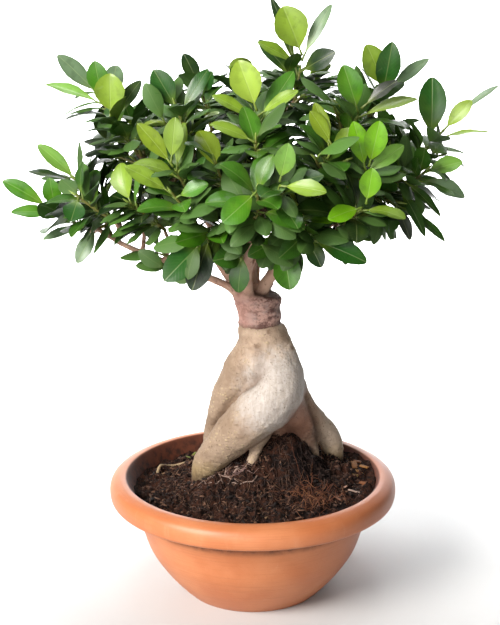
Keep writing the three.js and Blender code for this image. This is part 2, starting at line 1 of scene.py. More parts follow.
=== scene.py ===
# A ginseng ficus grown as a bonsai: pale swollen roots, a grafted brown stub and a leafy crown,
# standing in peat in a terracotta-coloured bowl.
# Lengths are in millimetres until a piece is finished, which brings it to metres.
import functools
import math
import random

import bmesh
import bpy
from mathutils import Matrix, Vector, noise
from mathutils.bvhtree import BVHTree


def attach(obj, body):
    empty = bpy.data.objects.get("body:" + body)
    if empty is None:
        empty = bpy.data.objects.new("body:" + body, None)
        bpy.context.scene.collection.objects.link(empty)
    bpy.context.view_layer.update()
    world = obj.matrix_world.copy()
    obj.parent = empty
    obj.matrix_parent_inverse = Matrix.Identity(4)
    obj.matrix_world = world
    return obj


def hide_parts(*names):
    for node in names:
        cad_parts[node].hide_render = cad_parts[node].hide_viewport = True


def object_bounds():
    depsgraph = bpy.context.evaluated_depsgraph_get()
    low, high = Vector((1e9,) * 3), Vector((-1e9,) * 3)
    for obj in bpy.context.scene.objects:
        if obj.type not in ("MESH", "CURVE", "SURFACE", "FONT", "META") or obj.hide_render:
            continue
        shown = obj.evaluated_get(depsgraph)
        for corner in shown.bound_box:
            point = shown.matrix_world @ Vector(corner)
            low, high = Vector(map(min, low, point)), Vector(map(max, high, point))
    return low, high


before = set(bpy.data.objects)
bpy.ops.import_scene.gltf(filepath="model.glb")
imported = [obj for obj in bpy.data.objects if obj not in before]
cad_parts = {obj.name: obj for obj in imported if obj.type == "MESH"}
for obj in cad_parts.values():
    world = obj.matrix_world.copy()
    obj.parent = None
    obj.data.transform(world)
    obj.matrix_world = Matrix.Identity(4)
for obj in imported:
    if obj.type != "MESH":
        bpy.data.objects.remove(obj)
cad_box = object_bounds()

MM = 0.001
UP = Vector((0, 0, 1))
MERGE_DISTANCE = 0.002

# The camera that took the picture: its place in metres, its pitch, and the picture's size in pixels

CAMERA_PLACE = (0, -1.0, 0.4842074)
CAMERA_PITCH = 0.258717
PICTURE_SIZE = (500, 625)
PICTURE_MIDDLE = 252.8237
FOCAL_PIXELS = 1381.7768
SENSOR_HEIGHT = 24


# Numbers, lines and colours

DARKER_THAN_LIT = 0.62


def lerp(a, b, share):
    return a + (b - a) * share


def smooth_step(low, high, value):
    share = min(max((value - low) / (high - low), 0), 1)
    return share * share * (3 - 2 * share)


def mean(points):
    points = list(points)
    return sum(points, Vector()) / len(points)


def cloudy(place, grain, octaves):
    """Noise from about -1 to 1 whose lumps are grain across."""
    return noise.fractal(place / grain, 0.6, 2.1, octaves)


def route_through(points, steps):
    """A smooth line of steps + 1 points through a few."""
    ends = [2 * points[0] - points[1], *points, 2 * points[-1] - points[-2]]
    line = []
    for i in range(steps + 1):
        place = i / steps * (len(points) - 1)
        k = min(int(place), len(points) - 2)
        t = place - k
        a, b, c, d = ends[k : k + 4]
        bend = 2 * b + (c - a) * t + (2 * a - 5 * b + 4 * c - d) * t * t
        line.append((bend + (3 * b - a - 3 * c + d) * t**3) / 2)
    return line


def value_along(values, share):
    """A value that runs evenly through a list as the share goes from 0 to 1."""
    place = share * (len(values) - 1)
    k = min(int(place), len(values) - 2)
    return lerp(values[k], values[k + 1], place - k)


def colour(code):
    """A surface's own linear colour, from how it looks under the studio's bright light."""
    parts = [int(code[i : i + 2], 16) / 255 for i in (0, 2, 4)]
    linear = [p / 12.92 if p <= 0.04045 else ((p + 0.055) / 1.055) ** 2.4 for p in parts]
    return (*(DARKER_THAN_LIT * p for p in linear), 1)


def blended(first, second, share):
    return tuple(lerp(a, b, share) for a, b in zip(first, second))


# Materials: a socket that Python's operators work on, and the finish that makes its nodes

# A Mix node's sockets for colours go by number, because its other sockets have the same names

MIX_SHARE = 0
MIX_FIRST = 6
MIX_SECOND = 7
MIX_RESULT = 2


class Socket:
    """A node's output. Adding, multiplying and the like put Math nodes behind it."""

    def __init__(self, finish, end):
        self.finish = finish
        self.end = end

    def math(self, operation, *values):
        return self.finish.node("Math", {"operation": operation}, dict(enumerate(values)))

    def __add__(self, other):
        return self.math("ADD", self, other)

    def __radd__(self, other):
        return self.math("ADD", other, self)

    def __sub__(self, other):
        return self.math("SUBTRACT", self, other)

    def __rsub__(self, other):
        return self.math("SUBTRACT", other, self)

    def __mul__(self, other):
        return self.math("MULTIPLY", self, other)

    def __rmul__(self, other):
        return self.math("MULTIPLY", other, self)

    def __abs__(self):
        return self.math("ABSOLUTE", self)

    def sine(self):
        return self.math("SINE", self)

    def between(self, low, high):
        """0 at low and 1 at high, with a smooth rise between them, or a fall where low is higher."""
        ends = {"Value": self, "From Min": low, "From Max": high}
        return self.finish.node("MapRange", {"interpolation_type": "SMOOTHSTEP"}, ends)


class Finish:
    """A material, the constants of its shader and the nodes that feed it."""

    def __init__(self, name, **constants):
        self.material = bpy.data.materials.new(name)
        self.material.use_nodes = True
        self.tree = self.material.node_tree
        self.shader = self.tree.nodes["Principled BSDF"]
        for label, value in constants.items():
            self.set(label.replace("_", " "), value)

    def node(self, kind, settings, inputs, output=0):
        """Any node, from its type, its settings, the values or links of its inputs, and an output."""
        made = self.tree.nodes.new("ShaderNode" + kind)
        for name, value in settings.items():
            setattr(made, name, value)
        for name, value in inputs.items():
            self.feed(made.inputs[name], value)
        return Socket(self, made.outputs[output])

    def feed(self, end, value):
        if isinstance(value, Socket):
            self.tree.links.new(value.end, end)
        else:
            end.default_value = value

    def set(self, label, value):
        self.feed(self.shader.inputs[label], value)

    def place(self, stretch=(1, 1, 1)):
        """The place on the object in millimetres, stretched along its axes."""
        here = self.node("TexCoord", {}, {}, "Object")
        return self.node("Mapping", {}, {"Vector": here, "Scale": [s / MM for s in stretch]})

    def axis(self, place, which):
        return self.node("SeparateXYZ", {}, {"Vector": place}, which)

    def attribute(self, name, output="Color"):
        return self.node("Attribute", {"attribute_name": name}, {}, output)

    def noise(self, place, grain, detail=3, roughness=0.55, distortion=0):
        """Cloudy noise from 0 to 1 whose lumps are grain across."""
        values = {"Vector": place, "Scale": 1 / grain, "Detail": detail}
        values |= {"Roughness": roughness, "Distortion": distortion}
        return self.node("TexNoise", {}, values)

    def cells(self, place, grain):
        """The distance from the middle of the nearest of cells that are grain across."""
        return self.node("TexVoronoi", {}, {"Vector": place, "Scale": 1 / grain})

    def far_from(self, place, centre):
        """The distance from a point in millimetres."""
        return self.node("VectorMath", {"operation": "DISTANCE"}, {0: place, 1: centre}, "Value")

    def mix(self, first, second, share):
        colours = {MIX_SHARE: share, MIX_FIRST: first, MIX_SECOND: second}
        return self.node("Mix", {"data_type": "RGBA"}, colours, MIX_RESULT)

    def cover(self, base, code, share):
        """A colour covered with another as far as the share says."""
        return self.mix(base, colour(code), share)

    def toned(self, base, tint, code, strength, share):
        """A colour that turns, as far as the share says, to a tint mixed with another colour."""
        return self.mix(base, self.cover(tint, code, strength), share)

    def bump(self, height, distance, strength=1.0):
        values = {"Height": height, "Distance": distance * MM, "Strength": strength}
        self.set("Normal", self.node("Bump", {}, values))


# Pieces

def new_mesh(name, bm):
    mesh = bpy.data.meshes.new(name)
    bm.to_mesh(mesh)
    bm.free()
    return mesh


def new_object(name, bm):
    made = bpy.data.objects.new(name, new_mesh(name, bm))
    bpy.context.scene.collection.objects.link(made)
    return made


def smooth_faces(bm):
    for face in bm.faces:
        face.smooth = True


def finish_piece(name, bm, finish, slot, *nodes):
    """Brings a piece to metres, smooths its shading and gives it its finish and its body."""
    bmesh.ops.scale(bm, vec=(MM, MM, MM), verts=bm.verts)
    smooth_faces(bm)
    piece = new_object(name, bm)
    piece.data.materials.append(finish.material)
    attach(piece, "root")
    if nodes:
        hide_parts(*nodes)


def copy_of(node):
    """A CAD node's solid in millimetres, with its shared corners merged."""
    bm = bmesh.new()
    bm.from_mesh(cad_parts[node].data)
    bmesh.ops.scale(bm, vec=(1 / MM, 1 / MM, 1 / MM), verts=bm.verts)
    bmesh.ops.remove_doubles(bm, verts=bm.verts, dist=MERGE_DISTANCE)
    return bm


def applied(holder):
    """The mesh that an object's modifiers make of it. The object is removed."""
    bm = bmesh.new()
    bm.from_object(holder, bpy.context.evaluated_depsgraph_get())
    bpy.data.objects.remove(holder)
    return bm


def even_skin(bm, voxel, passes):
    """One closed, even mesh round joined solids, with its corners smoothed away."""
    holder = new_object("skin", bm)
    remesh = holder.modifiers.new("skin", "REMESH")
    remesh.mode = "VOXEL"
    remesh.voxel_size = voxel
    smooth = holder.modifiers.new("smooth", "SMOOTH")
    smooth.iterations = passes
    return applied(holder)


def ruffle(bm, height):
    """Moves each point along its normal by a height worked out from its place and its normal."""
    bm.normal_update()
    steps = [v.normal * height(v.co, v.normal) for v in bm.verts]
    for v, step in zip(bm.verts, steps):
        v.co += step


def tinted_bmesh():
    """A bmesh with the layers that every pattern has: its place on a leaf, and its tint."""
    bm = bmesh.new()
    bm.loops.layers.uv.new("leaf")
    bm.verts.layers.float_color.new("tint")
    return bm


def stamp(bm, pattern):
    """Adds a copy of a pattern mesh to a piece and returns its points."""
    first = len(bm.verts)
    bm.from_mesh(pattern)
    bm.verts.ensure_lookup_table()
    return bm.verts[first:]


# Which way a tube's first corner points, before it is squared to the tube's line

TUBE_CORNER = Vector((0.3, 1, 0.1))


@functools.cache
def tube_pattern(sides, rings):
    """A closed upright cylinder of radius 1 with a ring of points at each whole height."""
    bm = tinted_bmesh()
    bmesh.ops.create_cone(bm, cap_ends=True, segments=sides, radius1=1, radius2=1, depth=rings)
    upright = [e for e in bm.edges if abs(e.verts[0].co.z - e.verts[1].co.z) > rings / 2]
    bmesh.ops.subdivide_edges(bm, edges=upright, cuts=rings - 1)
    bmesh.ops.translate(bm, vec=(0, 0, rings / 2), verts=bm.verts)
    return new_mesh("tube_pattern", bm)


def add_tube(bm, line, radius_at, sides, tint=(1, 1, 1, 1)):
    """A closed tube along a line of points. Its radius follows the share of its length."""
    rings = len(line) - 1
    side = TUBE_CORNER
    sections = []
    for i, centre in enumerate(line):
        tangent = (line[min(i + 1, rings)] - line[max(i - 1, 0)]).normalized()
        side = (side - tangent * side.dot(tangent)).normalized()
        radius = radius_at(i / rings)
        sections.append((centre, side * radius, tangent.cross(side) * radius))
    points = stamp(bm, tube_pattern(sides, rings))
    layer = bm.verts.layers.float_color["tint"]
    for v in points:
        centre, side, across = sections[round(v.co.z)]
        v.co = centre + side * v.co.x + across * v.co.y
        v[layer] = tint
    return points


# The bowl: its wall inside and outside and its rolled rim, as radius and height

FLOOR_THICKNESS = 3.2
WALL_INSIDE = [(50, FLOOR_THICKNESS), (66, 20), (75.8, 35), (81.4, 50), (88.4, 74), (96.8, 91)]
WALL_OUTSIDE = [(52, 0), (60, 8), (69.9, 20), (79.4, 35), (84.9, 50), (92.4, 76), (96.8, 84.4)]
RIM_UNDERSIDE = [(100.5, 88.0), (104.6, 86), (104.9, 75.6)]
RIM_ROLL = [(106.6, 74.5), (109.0, 76.4), (109.9, 81), (109.4, 85.6), (107.2, 89.2), (102.6, 91.6)]
LIP = [(99.6, 92.0), (97.6, 91.7)]
INSIDE_STEPS = 40
OUTSIDE_STEPS = 96
UNDERSIDE_STEPS = 8
ROLL_STEPS = 34
BOWL_TURNS = 144
GROOVE_HEIGHTS = (72.6, 69.2, 65.9, 62.4)
GROOVE_DEPTH = 0.35
GROOVE_WIDTH = 0.9
FLAT_FOOT = 0.5
WAVER = 0.12
WAVER_GRAIN = 60
DRAIN_HOLES = 4
DRAIN_HOLE_RADIUS = 4
DRAIN_HOLE_SIDES = 24
DRAIN_CIRCLE_RADIUS = 33

# Where the bowl's colour changes: the lip's radii, heights inside for its painted shade and its dust, and
# places towards its right side, where painted shade darkens it

LIP_RADII = (98.6, 97.0)
SHADED_INSIDE_HEIGHTS = (60, 70)
DUST_AND_SHADE_HEIGHTS = (94, 84)
SHADED_RIGHT_SIDE = (20, 105)


def section(points, steps):
    """A smooth outline through points given as radius and height."""
    return route_through([Vector((radius, 0, height)) for radius, height in points], steps)


def grooved(point):
    """A point of the outer wall, sunk where a fine groove runs round the bowl."""
    depth = sum(math.exp(-(((point.z - height) / GROOVE_WIDTH) ** 2)) for height in GROOVE_HEIGHTS)
    return point - Vector((GROOVE_DEPTH * depth, 0, 0))


def turned(outline, turns):
    """A closed solid turned from an outline that runs from the axis to the axis."""
    bm = bmesh.new()
    points = [bmesh.ops.create_vert(bm, co=p)["vert"][0] for p in outline]
    edges = [bm.edges.new(pair) for pair in zip(points, points[1:])]
    around = {"cent": (0, 0, 0), "axis": (0, 0, 1), "angle": math.tau, "steps": turns}
    bmesh.ops.spin(bm, geom=points + edges, use_merge=True, **around)
    bmesh.ops.remove_doubles(bm, verts=bm.verts, dist=MERGE_DISTANCE)
    bmesh.ops.recalc_face_normals(bm, faces=bm.faces)
    return bm


def bowl_wall():
    """The bowl without its drain holes. Above its flat foot it is a little out of round."""
    inside = section(WALL_INSIDE, INSIDE_STEPS)[::-1]
    outside = [grooved(p) for p in section(WALL_OUTSIDE, OUTSIDE_STEPS)]
    rim = section(RIM_UNDERSIDE, UNDERSIDE_STEPS) + section(RIM_ROLL + LIP, ROLL_STEPS)
    outline = [Vector((0, 0, 0)), *outside, *rim, *inside, Vector((0, 0, FLOOR_THICKNESS))]
    bm = turned(outline, BOWL_TURNS)
    for v in bm.verts:
        if v.co.z > FLAT_FOOT:
            waver = WAVER * cloudy(Vector((v.co.x, v.co.y, v.co.z * 0.4)), WAVER_GRAIN, 2)
            v.co += Vector((v.co.x, v.co.y, 0)).normalized() * waver
    return bm


def drain_drills():
    """The upright cylinders that stand where the drain holes are."""
    drills = bmesh.new()
    radii = {"radius1": DRAIN_HOLE_RADIUS, "radius2": DRAIN_HOLE_RADIUS}
    drill = {"cap_ends": True, "segments": DRAIN_HOLE_SIDES, "depth": 4 * FLOOR_THICKNESS, **radii}
    for i in range(DRAIN_HOLES):
        angle = (i + 0.5) / DRAIN_HOLES * math.tau
        middle = Vector((math.cos(angle), math.sin(angle), 0)) * DRAIN_CIRCLE_RADIUS
        bmesh.ops.create_cone(drills, matrix=Matrix.Translation(middle), **drill)
    return drills


def bowl_finish():
    finish = Finish("moulded_terracotta", Specular_IOR_Level=0.42)
    place = finish.place()
    clouds = finish.noise(place, 34, detail=4)
    specks = finish.noise(place, 1.3, detail=2)
    smears = finish.noise(finish.place((1, 1, 0.16)), 9, detail=4, distortion=0.6)
    base = finish.mix(colour("da8250"), colour("e5915f"), clouds.between(0.35, 0.68))
    base = finish.cover(base, "eda477", smears.between(0.6, 0.82) * 0.4)
    base = finish.cover(base, "b9663f", specks.between(0.62, 0.74) * 0.2)
    lines = finish.noise(finish.place((0.03, 0.03, 1)), 1.5, detail=3, roughness=0.7)
    base = finish.cover(base, "c47648", lines.between(0.5, 0.66) * 0.3)
    height = finish.axis(place, "Z")
    radius = finish.far_from(finish.place((1, 1, 0)), (0, 0, 0))
    # Painted shade: the inner wall above the soil is darkened all round inside the lip, and patchy dust
    # lower down darkens it further, partly as shade
    inside = radius.between(*LIP_RADII) * height.between(*SHADED_INSIDE_HEIGHTS)
    dust_and_shade = finish.noise(place, 5, detail=5).between(0.35, 0.7) * inside
    base = finish.cover(base, "5c281a", inside * 0.9)
    base = finish.cover(base, "2c150e", dust_and_shade * height.between(*DUST_AND_SHADE_HEIGHTS) * 0.9)
    # Painted shade: the bowl's outside turns darker towards its right, the side away from the key light
    right_side_shade = finish.axis(place, "X").between(*SHADED_RIGHT_SIDE) * (1 - inside)
    base = finish.cover(base, "b5653f", right_side_shade * 0.6)
    finish.set("Base Color", base)
    finish.set("Roughness", 0.36 + 0.16 * clouds + 0.2 * inside)
    finish.bump(0.7 * specks + 0.5 * finish.noise(place, 4, detail=3) + 0.5 * lines, 0.12)
    return finish


def make_bowl():
    bowl = new_object("bowl_wall", bowl_wall())
    cutter = new_object("drills", drain_drills())
    cut = bowl.modifiers.new("drain_holes", "BOOLEAN")
    cut.object = cutter
    cut.operation = "DIFFERENCE"
    whole = applied(bowl)
    bpy.data.objects.remove(cutter)
    finish_piece("bowl_pot", whole, bowl_finish(), "pot_terracotta", "bowl")


# The soil: the bowl's filling with a clotted top. Hills and heaps are their height, x, y and reach.

SOIL_GAP = 0.6
SOIL_LEVEL = 84
SOIL_HILLS = [(30, 24, 8, 19), (19, -12, 1, 25), (6, 62, 24, 20)]
SOIL_HEAPS = [(3, -4, -22, 8), (9, 30, -5, 10)]
SOIL_SUNK = 3.3
SOIL_REACH = 90
SOIL_TURNS = 288
SOIL_STEPS = 88
SOIL_RIM = 0.985
SOIL_SIDES = [(50, FLOOR_THICKNESS), (66, 20), (81.4, 50), (88.4, 74)]
TOP_MARK = 1000
# Where painted shade darkens the soil under the roots: its middle, and the distances over which it fades
ROOT_SHADE_MIDDLE = (46, -16, 96)
ROOT_SHADE_REACH = (34, 12)


def mounds(x, y, hills):
    """The height that rounded hills add at a place."""
    total = 0
    for height, centre_x, centre_y, reach in hills:
        total += height * math.exp(-((x - centre_x) ** 2 + (y - centre_y) ** 2) / (2 * reach * reach))
    return total


def soil_height(x, y):
    """The soil's height without its clots: a slope, hills under the roots and low clods."""
    slope = 3.5 * math.tanh(x / 45) - 1.5 * math.tanh(y / 60)
    clods = 1.5 * math.sin(x / 5.3 + 2 * math.sin(y / 9)) * math.cos(y / 6.1 - 1.3 * math.sin(x / 11))
    return SOIL_LEVEL + slope + mounds(x, y, SOIL_HILLS) + clods


def clotted(x, y):
    """The soil's height with its clots and pits."""
    place = Vector((x, y, 0))
    clots = 6.0 * abs(cloudy(place, 12, 3)) + 3.2 * abs(cloudy(place + UP * 40, 5, 2))
    rolls = 1.4 * cloudy(place + UP * 90, 22, 2)
    return soil_height(x, y) - SOIL_SUNK + clots + rolls + mounds(x, y, SOIL_HEAPS)


def wall_radius(height):
    """The radius of the bowl's wall inside, at a height."""
    for (low_radius, low), (high_radius, high) in zip(WALL_INSIDE, WALL_INSIDE[1:]):
        if height <= high:
            return lerp(low_radius, high_radius, (height - low) / (high - low))
    return WALL_INSIDE[-1][0]


def soil_finish():
    finish = Finish("peat", Roughness=0.95, Specular_IOR_Level=0.2)
    place = finish.place()
    clods = finish.noise(place, 6, detail=5, roughness=0.7)
    grains = finish.noise(place, 1.1, detail=3, roughness=0.7)
    base = finish.mix(colour("160a06"), colour("4c2c1e"), clods.between(0.38, 0.62))
    base = finish.cover(base, "6d4431", grains.between(0.54, 0.72) * 0.7)
    base = finish.cover(base, "100705", grains.between(0.46, 0.32) * 0.85)
    patches = finish.noise(place, 24, detail=3)
    base = finish.cover(base, "120604", patches.between(0.5, 0.38) * 0.75)
    # Painted shade: the soil darkens round a point under the thick roots, where their shade falls
    root_shade = finish.far_from(place, ROOT_SHADE_MIDDLE) + 14 * (clods - 0.5)
    base = finish.cover(base, "100503", root_shade.between(*ROOT_SHADE_REACH) * 0.8)
    finish.set("Base Color", base)
    finish.bump(grains + 0.6 * clods, 1.6)
    return finish


def make_soil():
    """A turned filling. Its top is turned flat, at a mark, and then brought to the soil's height."""
    floor = WALL_INSIDE[0][1] + SOIL_GAP
    below = [Vector((radius - SOIL_GAP, 0, height + SOIL_GAP)) for radius, height in SOIL_SIDES]
    top = [Vector((1 - i / SOIL_STEPS, 0, TOP_MARK)) for i in range(SOIL_STEPS + 1)]
    bm = turned([Vector((0, 0, floor)), *below, *top], SOIL_TURNS)
    for v in bm.verts:
        if v.co.z < TOP_MARK:
            continue
        share = math.hypot(v.co.x, v.co.y)
        angle = math.atan2(v.co.y, v.co.x)
        edge = soil_height(SOIL_REACH * math.cos(angle), SOIL_REACH * math.sin(angle))
        radius = share * (wall_radius(edge) - SOIL_GAP)
        x = math.cos(angle) * radius
        y = math.sin(angle) * radius
        height = lerp(clotted(x, y), edge, smooth_step(SOIL_RIM, 1, share))
        v.co = Vector((x, y, edge if share > 0.999 else height))
    finish_piece("potting_soil", bm, soil_finish(), "soil", "soil")


# The grafting roots, smoothed from their solid and given bark

ROOT_VOXEL = 1.0
ROOT_SMOOTHING = 80
SKIN_LOST = 0.7

# Each knot and each swelling: its middle, its reach and its height

KNOTS = [
    (Vector((3.5, -17, 198)), 3.2, 1.3),
    (Vector((11, -15.5, 208)), 2.2, 0.9),
    (Vector((27, -11, 194)), 3.0, 0.9),
    (Vector((-22, -4, 140)), 4.4, 1.3),
    (Vector((-26, -12, 121)), 4.0, 0.8),
    (Vector((-33, -12, 108)), 3.4, 0.9),
]
KNOT_LIMIT = 3
KNOT_FADE = (0.9, 0.3)
SWELLINGS = [
    (Vector((21, -4, 194)), 10, 2.4),
    (Vector((20, -24, 168)), 17, 2.4),
    (Vector((-20, 2, 158)), 14, 1.6),
    (Vector((-18, 0, 180)), 11, 3.0),
    (Vector((0, -17, 181)), 8, 2.6),
    (Vector((-27, -4, 138)), 11, 1.6),
]
COLLAR_SWELL = 1.5
COLLAR_HEIGHTS = (192, 207)

# The creases between grown-together roots, as points from the top down

CREASES = [
    [(9, -19, 192), (8, -20, 184), (5, -20, 176), (-1, -16, 168), (-8, -10, 158), (-20, -4, 141),
     (-30, 3, 125)],
    [(42, 2, 152), (47, 4, 140), (50, 6, 128), (52, 8, 116), (55, 12, 104)],
]
CREASE_STRETCHES = [pair for line in CREASES for pair in zip(line, line[1:])]
CREASE_DEPTH = 3.6
CREASE_REACH = 4.4
CREASE_TOP = 200
CREASE_FADE = 30
CREASE_SHADE_REACH = 6

# Where the bark's colour changes, some of it painted light and shade: middles, distances from them,
# places across and heights

PALE_MIDDLE = (21, -26, 163)
PALE_REACH = (44, 22)
UNDER_BULGE_SHADE_MIDDLE = (36, -6, 136)
UNDER_BULGE_SHADE_REACH = (30, 9)
HOLLOW_SHADE_MIDDLE = (32, 4, 116)
HOLLOW_SHADE_REACH = (27, 12)
LEFT_ROOT = (0, -18)
RIGHT_ROOT = (38, 52)
DOTTED_SIDE = (26, 8)
FOOT_HEIGHTS = (112, 96)
SOILED_HEIGHTS = (100, 88)


def closest_on(place, start, end):
    """The point nearest to a place on the straight line between two others."""
    start = Vector(start)
    way = Vector(end) - start
    share = (place - start).dot(way) / way.length_squared
    return start + way * min(max(share, 0), 1)


def crease_share(place, reach):
    """1 at a crease's bottom and 0 well beside it. The creases fade out at their upper ends."""
    far = min((place - closest_on(place, *pair)).length for pair in CREASE_STRETCHES)
    return math.exp(-((far / reach) ** 2)) * smooth_step(CREASE_TOP, CREASE_TOP - CREASE_FADE, place.z)


def knot_share(place):
    """1 in the middle of a knot and 0 well beside it."""
    return max(smooth_step(*KNOT_FADE, (place - middle).length / reach) for middle, reach, _ in KNOTS)


def root_relief(place, normal):
    """The bark's swells, wrinkles, ringed knots, swellings, collar and creases."""
    swells = 0.6 * cloudy(place, 26, 2)
    flat = Vector((place.x * 0.5, place.y * 0.5, place.z * 1.3))
    wrinkles = 0.34 * cloudy(flat + UP * 50, 3.2, 3) + 0.35 * cloudy(place + UP * 90, 8, 2)
    relief = swells + wrinkles
    for middle, reach, height in KNOTS:
        far = (place - middle).length / reach
        if far < KNOT_LIMIT:
            relief += height * (math.exp(-far * far) - 0.9 * math.exp(-6 * far * far))
    for middle, reach, height in SWELLINGS:
        relief += height * math.exp(-(((place - middle).length / reach) ** 2))
    collar = COLLAR_SWELL * smooth_step(*COLLAR_HEIGHTS, place.z)
    return relief + SKIN_LOST + collar - CREASE_DEPTH * crease_share(place, CREASE_REACH)


def root_finish():
    finish = Finish("pale_root_bark", Specular_IOR_Level=0.35)
    place = finish.place()
    over = finish.axis(place, "X")
    height = finish.axis(place, "Z")
    clouds = finish.noise(place, 17, detail=4)
    blots = finish.noise(place, 6, detail=5, roughness=0.65)
    streaks = finish.noise(finish.place((1, 1, 0.2)), 2.2, detail=5, roughness=0.65, distortion=0.5)
    specks = finish.noise(place, 1.5, detail=3, roughness=0.6)
    base = finish.mix(colour("ab9079"), colour("ccb29a"), clouds.between(0.34, 0.62))
    base = finish.cover(base, "dcc6ad", blots.between(0.52, 0.74) * 0.7)
    base = finish.cover(base, "957659", streaks.between(0.46, 0.3) * 0.5)
    # The left root darker and greyer: partly its grey-olive bark, partly painted shade where less light
    # falls on it
    base = finish.cover(base, "8c7660", over.between(*LEFT_ROOT) * 0.5)
    # Painted light: the right root is lightened where the key light leaves it in shade
    base = finish.cover(base, "e2cdb6", over.between(*RIGHT_ROOT) * 0.7)
    # Pale bark over the bulge: its own colour, partly painted light where it reaches right, as the bulge
    # is brightly lit there
    pale = (finish.far_from(place, PALE_MIDDLE) + 26 * (blots - 0.5)).between(*PALE_REACH)
    white = finish.mix(colour("c2b8ae"), colour("d8cfc8"), streaks.between(0.35, 0.65))
    base = finish.mix(base, white, pale * 0.88)
    # Painted shade: brown under the bulge, where it shades the roots below
    under = finish.far_from(place, UNDER_BULGE_SHADE_MIDDLE) + 22 * (clouds - 0.5)
    base = finish.cover(base, "a8745c", under.between(*UNDER_BULGE_SHADE_REACH) * 0.8)
    # Painted shade: dark brown in the hollow under the bulge, between the roots
    hollow_shade = finish.far_from(place, HOLLOW_SHADE_MIDDLE) + 14 * (blots - 0.5)
    base = finish.cover(base, "5a392a", hollow_shade.between(*HOLLOW_SHADE_REACH) * 0.75)
    # Painted shade: the creases between grown-together roots are darkened, and the knots are darkened too
    crease_shade_and_knots = finish.attribute("tint", "Alpha")
    base = finish.cover(base, "6d4d34", crease_shade_and_knots * (0.3 + 0.6 * blots))
    foot = (height + 16 * (blots - 0.5)).between(*FOOT_HEIGHTS)
    base = finish.cover(base, "b39a66", foot * 0.55)
    soiled = (height + 20 * (streaks - 0.5)).between(*SOILED_HEIGHTS)
    base = finish.cover(base, "4a3325", soiled * 0.7)
    dark = specks.between(0.6, 0.7) * blots.between(0.42, 0.6)
    base = finish.cover(base, "5c4330", dark * 0.75)
    dots = finish.cells(finish.place((1, 1, 1.3)), 3.2).between(0.42, 0.24) * clouds.between(0.44, 0.6)
    base = finish.cover(base, "d6c096", dots * over.between(*DOTTED_SIDE) * (1 - pale) * 0.5)
    finish.set("Base Color", base)
    finish.set("Roughness", 0.82 - 0.22 * pale)
    rings = finish.noise(finish.place((0.3, 0.3, 1.5)), 2.4, detail=3)
    finish.bump(0.6 * rings + 0.5 * specks + 0.6 * blots + 0.4 * dots, 0.9, 0.8)
    return finish


def make_roots():
    bm = even_skin(copy_of("grafting_roots"), ROOT_VOXEL, ROOT_SMOOTHING)
    layer = bm.verts.layers.float_color.new("tint")
    # The tint's alpha marks the creases, where the bark's finish paints shade, and the knots, which it
    # darkens
    for v in bm.verts:
        v[layer] = (1, 1, 1, max(crease_share(v.co, CREASE_SHADE_REACH), knot_share(v.co)))
    ruffle(bm, root_relief)
    finish_piece("swollen_roots", bm, root_finish(), "rootstock_bark", "grafting_roots")


# The stub, its branches and the twigs on them

GRAFT_HEIGHT = 210
GRAFT_GAP = 0.3
STUB_X = 5
STUB_RADIUS = 16.4
STUB_SHARES = [0.95, 0.97, 0.975, 0.98, 0.99, 1.0, 0.985, 0.975, 0.985, 0.99, 0.97, 0.93]
STUB_TOP = 236
STUB_TOP_SLOPE = 0.2
STUB_RINGS = 26
STUB_SIDES = 40
STUB_MARGIN = 3
BRANCH_STEPS = 30
BRANCH_SIDES = 12
TWIG_RADII = (1.9, 1.45)
TWIG_STEPS = 8
TWIG_SIDES = 8
WOOD_VOXEL = 0.9
WOOD_SMOOTHING = 3

# Each branch: its points, as x, y, z and the radius there

BRANCHES = [
    [(-8, -5, 231, 3.8), (-20, -9, 243, 3), (-52, -18, 258, 2.5), (-90, -20, 274, 2.1),
     (-116, -14, 288, 1.7)],
    [(-6, 0, 229, 6.6), (-18, 1, 250, 5), (-42, 2, 282, 3.8), (-66, -2, 312, 2.8), (-82, -6, 340, 2)],
    [(-1, 2, 229, 6.4), (-2, 3, 256, 4.8), (4, -2, 298, 3.8), (12, -4, 340, 2.8), (24, -2, 374, 2)],
    [(2, -3, 229, 5.4), (16, -6, 252, 4.2), (52, -10, 286, 3.3), (86, -12, 312, 2.6),
     (108, -6, 334, 1.9)],
    [(-3, -7, 230, 4.4), (-4, -24, 256, 3.5), (0, -48, 286, 2.8), (8, -66, 312, 2.1)],
    [(-5, 5, 230, 5), (-16, 24, 254, 3.8), (-40, 52, 288, 3), (-60, 66, 318, 2.3), (-68, 66, 344, 1.8)],
    [(0, 7, 230, 5), (2, 30, 258, 3.8), (4, 56, 296, 2.9), (4, 66, 334, 2.2)],
    [(5, 5, 230, 5), (20, 22, 254, 3.8), (48, 48, 288, 3), (70, 60, 318, 2.3), (80, 56, 344, 1.8)],
]

# Where the wood's colour changes: heights, and the places across of the stub's lit left side, painted
# lighter and redder

GRAFT_HEIGHTS = (214.5, 210.5)
LIT_LEFT_SIDE = (6, -9)
RIM_DEPTH = 2.5
BRANCH_HEIGHTS = (232, 242)
GREENER_HEIGHTS = (290, 350)


def branch_line(knots, steps):
    return route_through([Vector(knot[:3]) for knot in knots], steps)


def branch_radius(knots, share):
    """A branch's radius, with a flare at its foot."""
    return value_along([knot[3] for knot in knots], share) * (1 + 0.3 * math.exp(-16 * share))


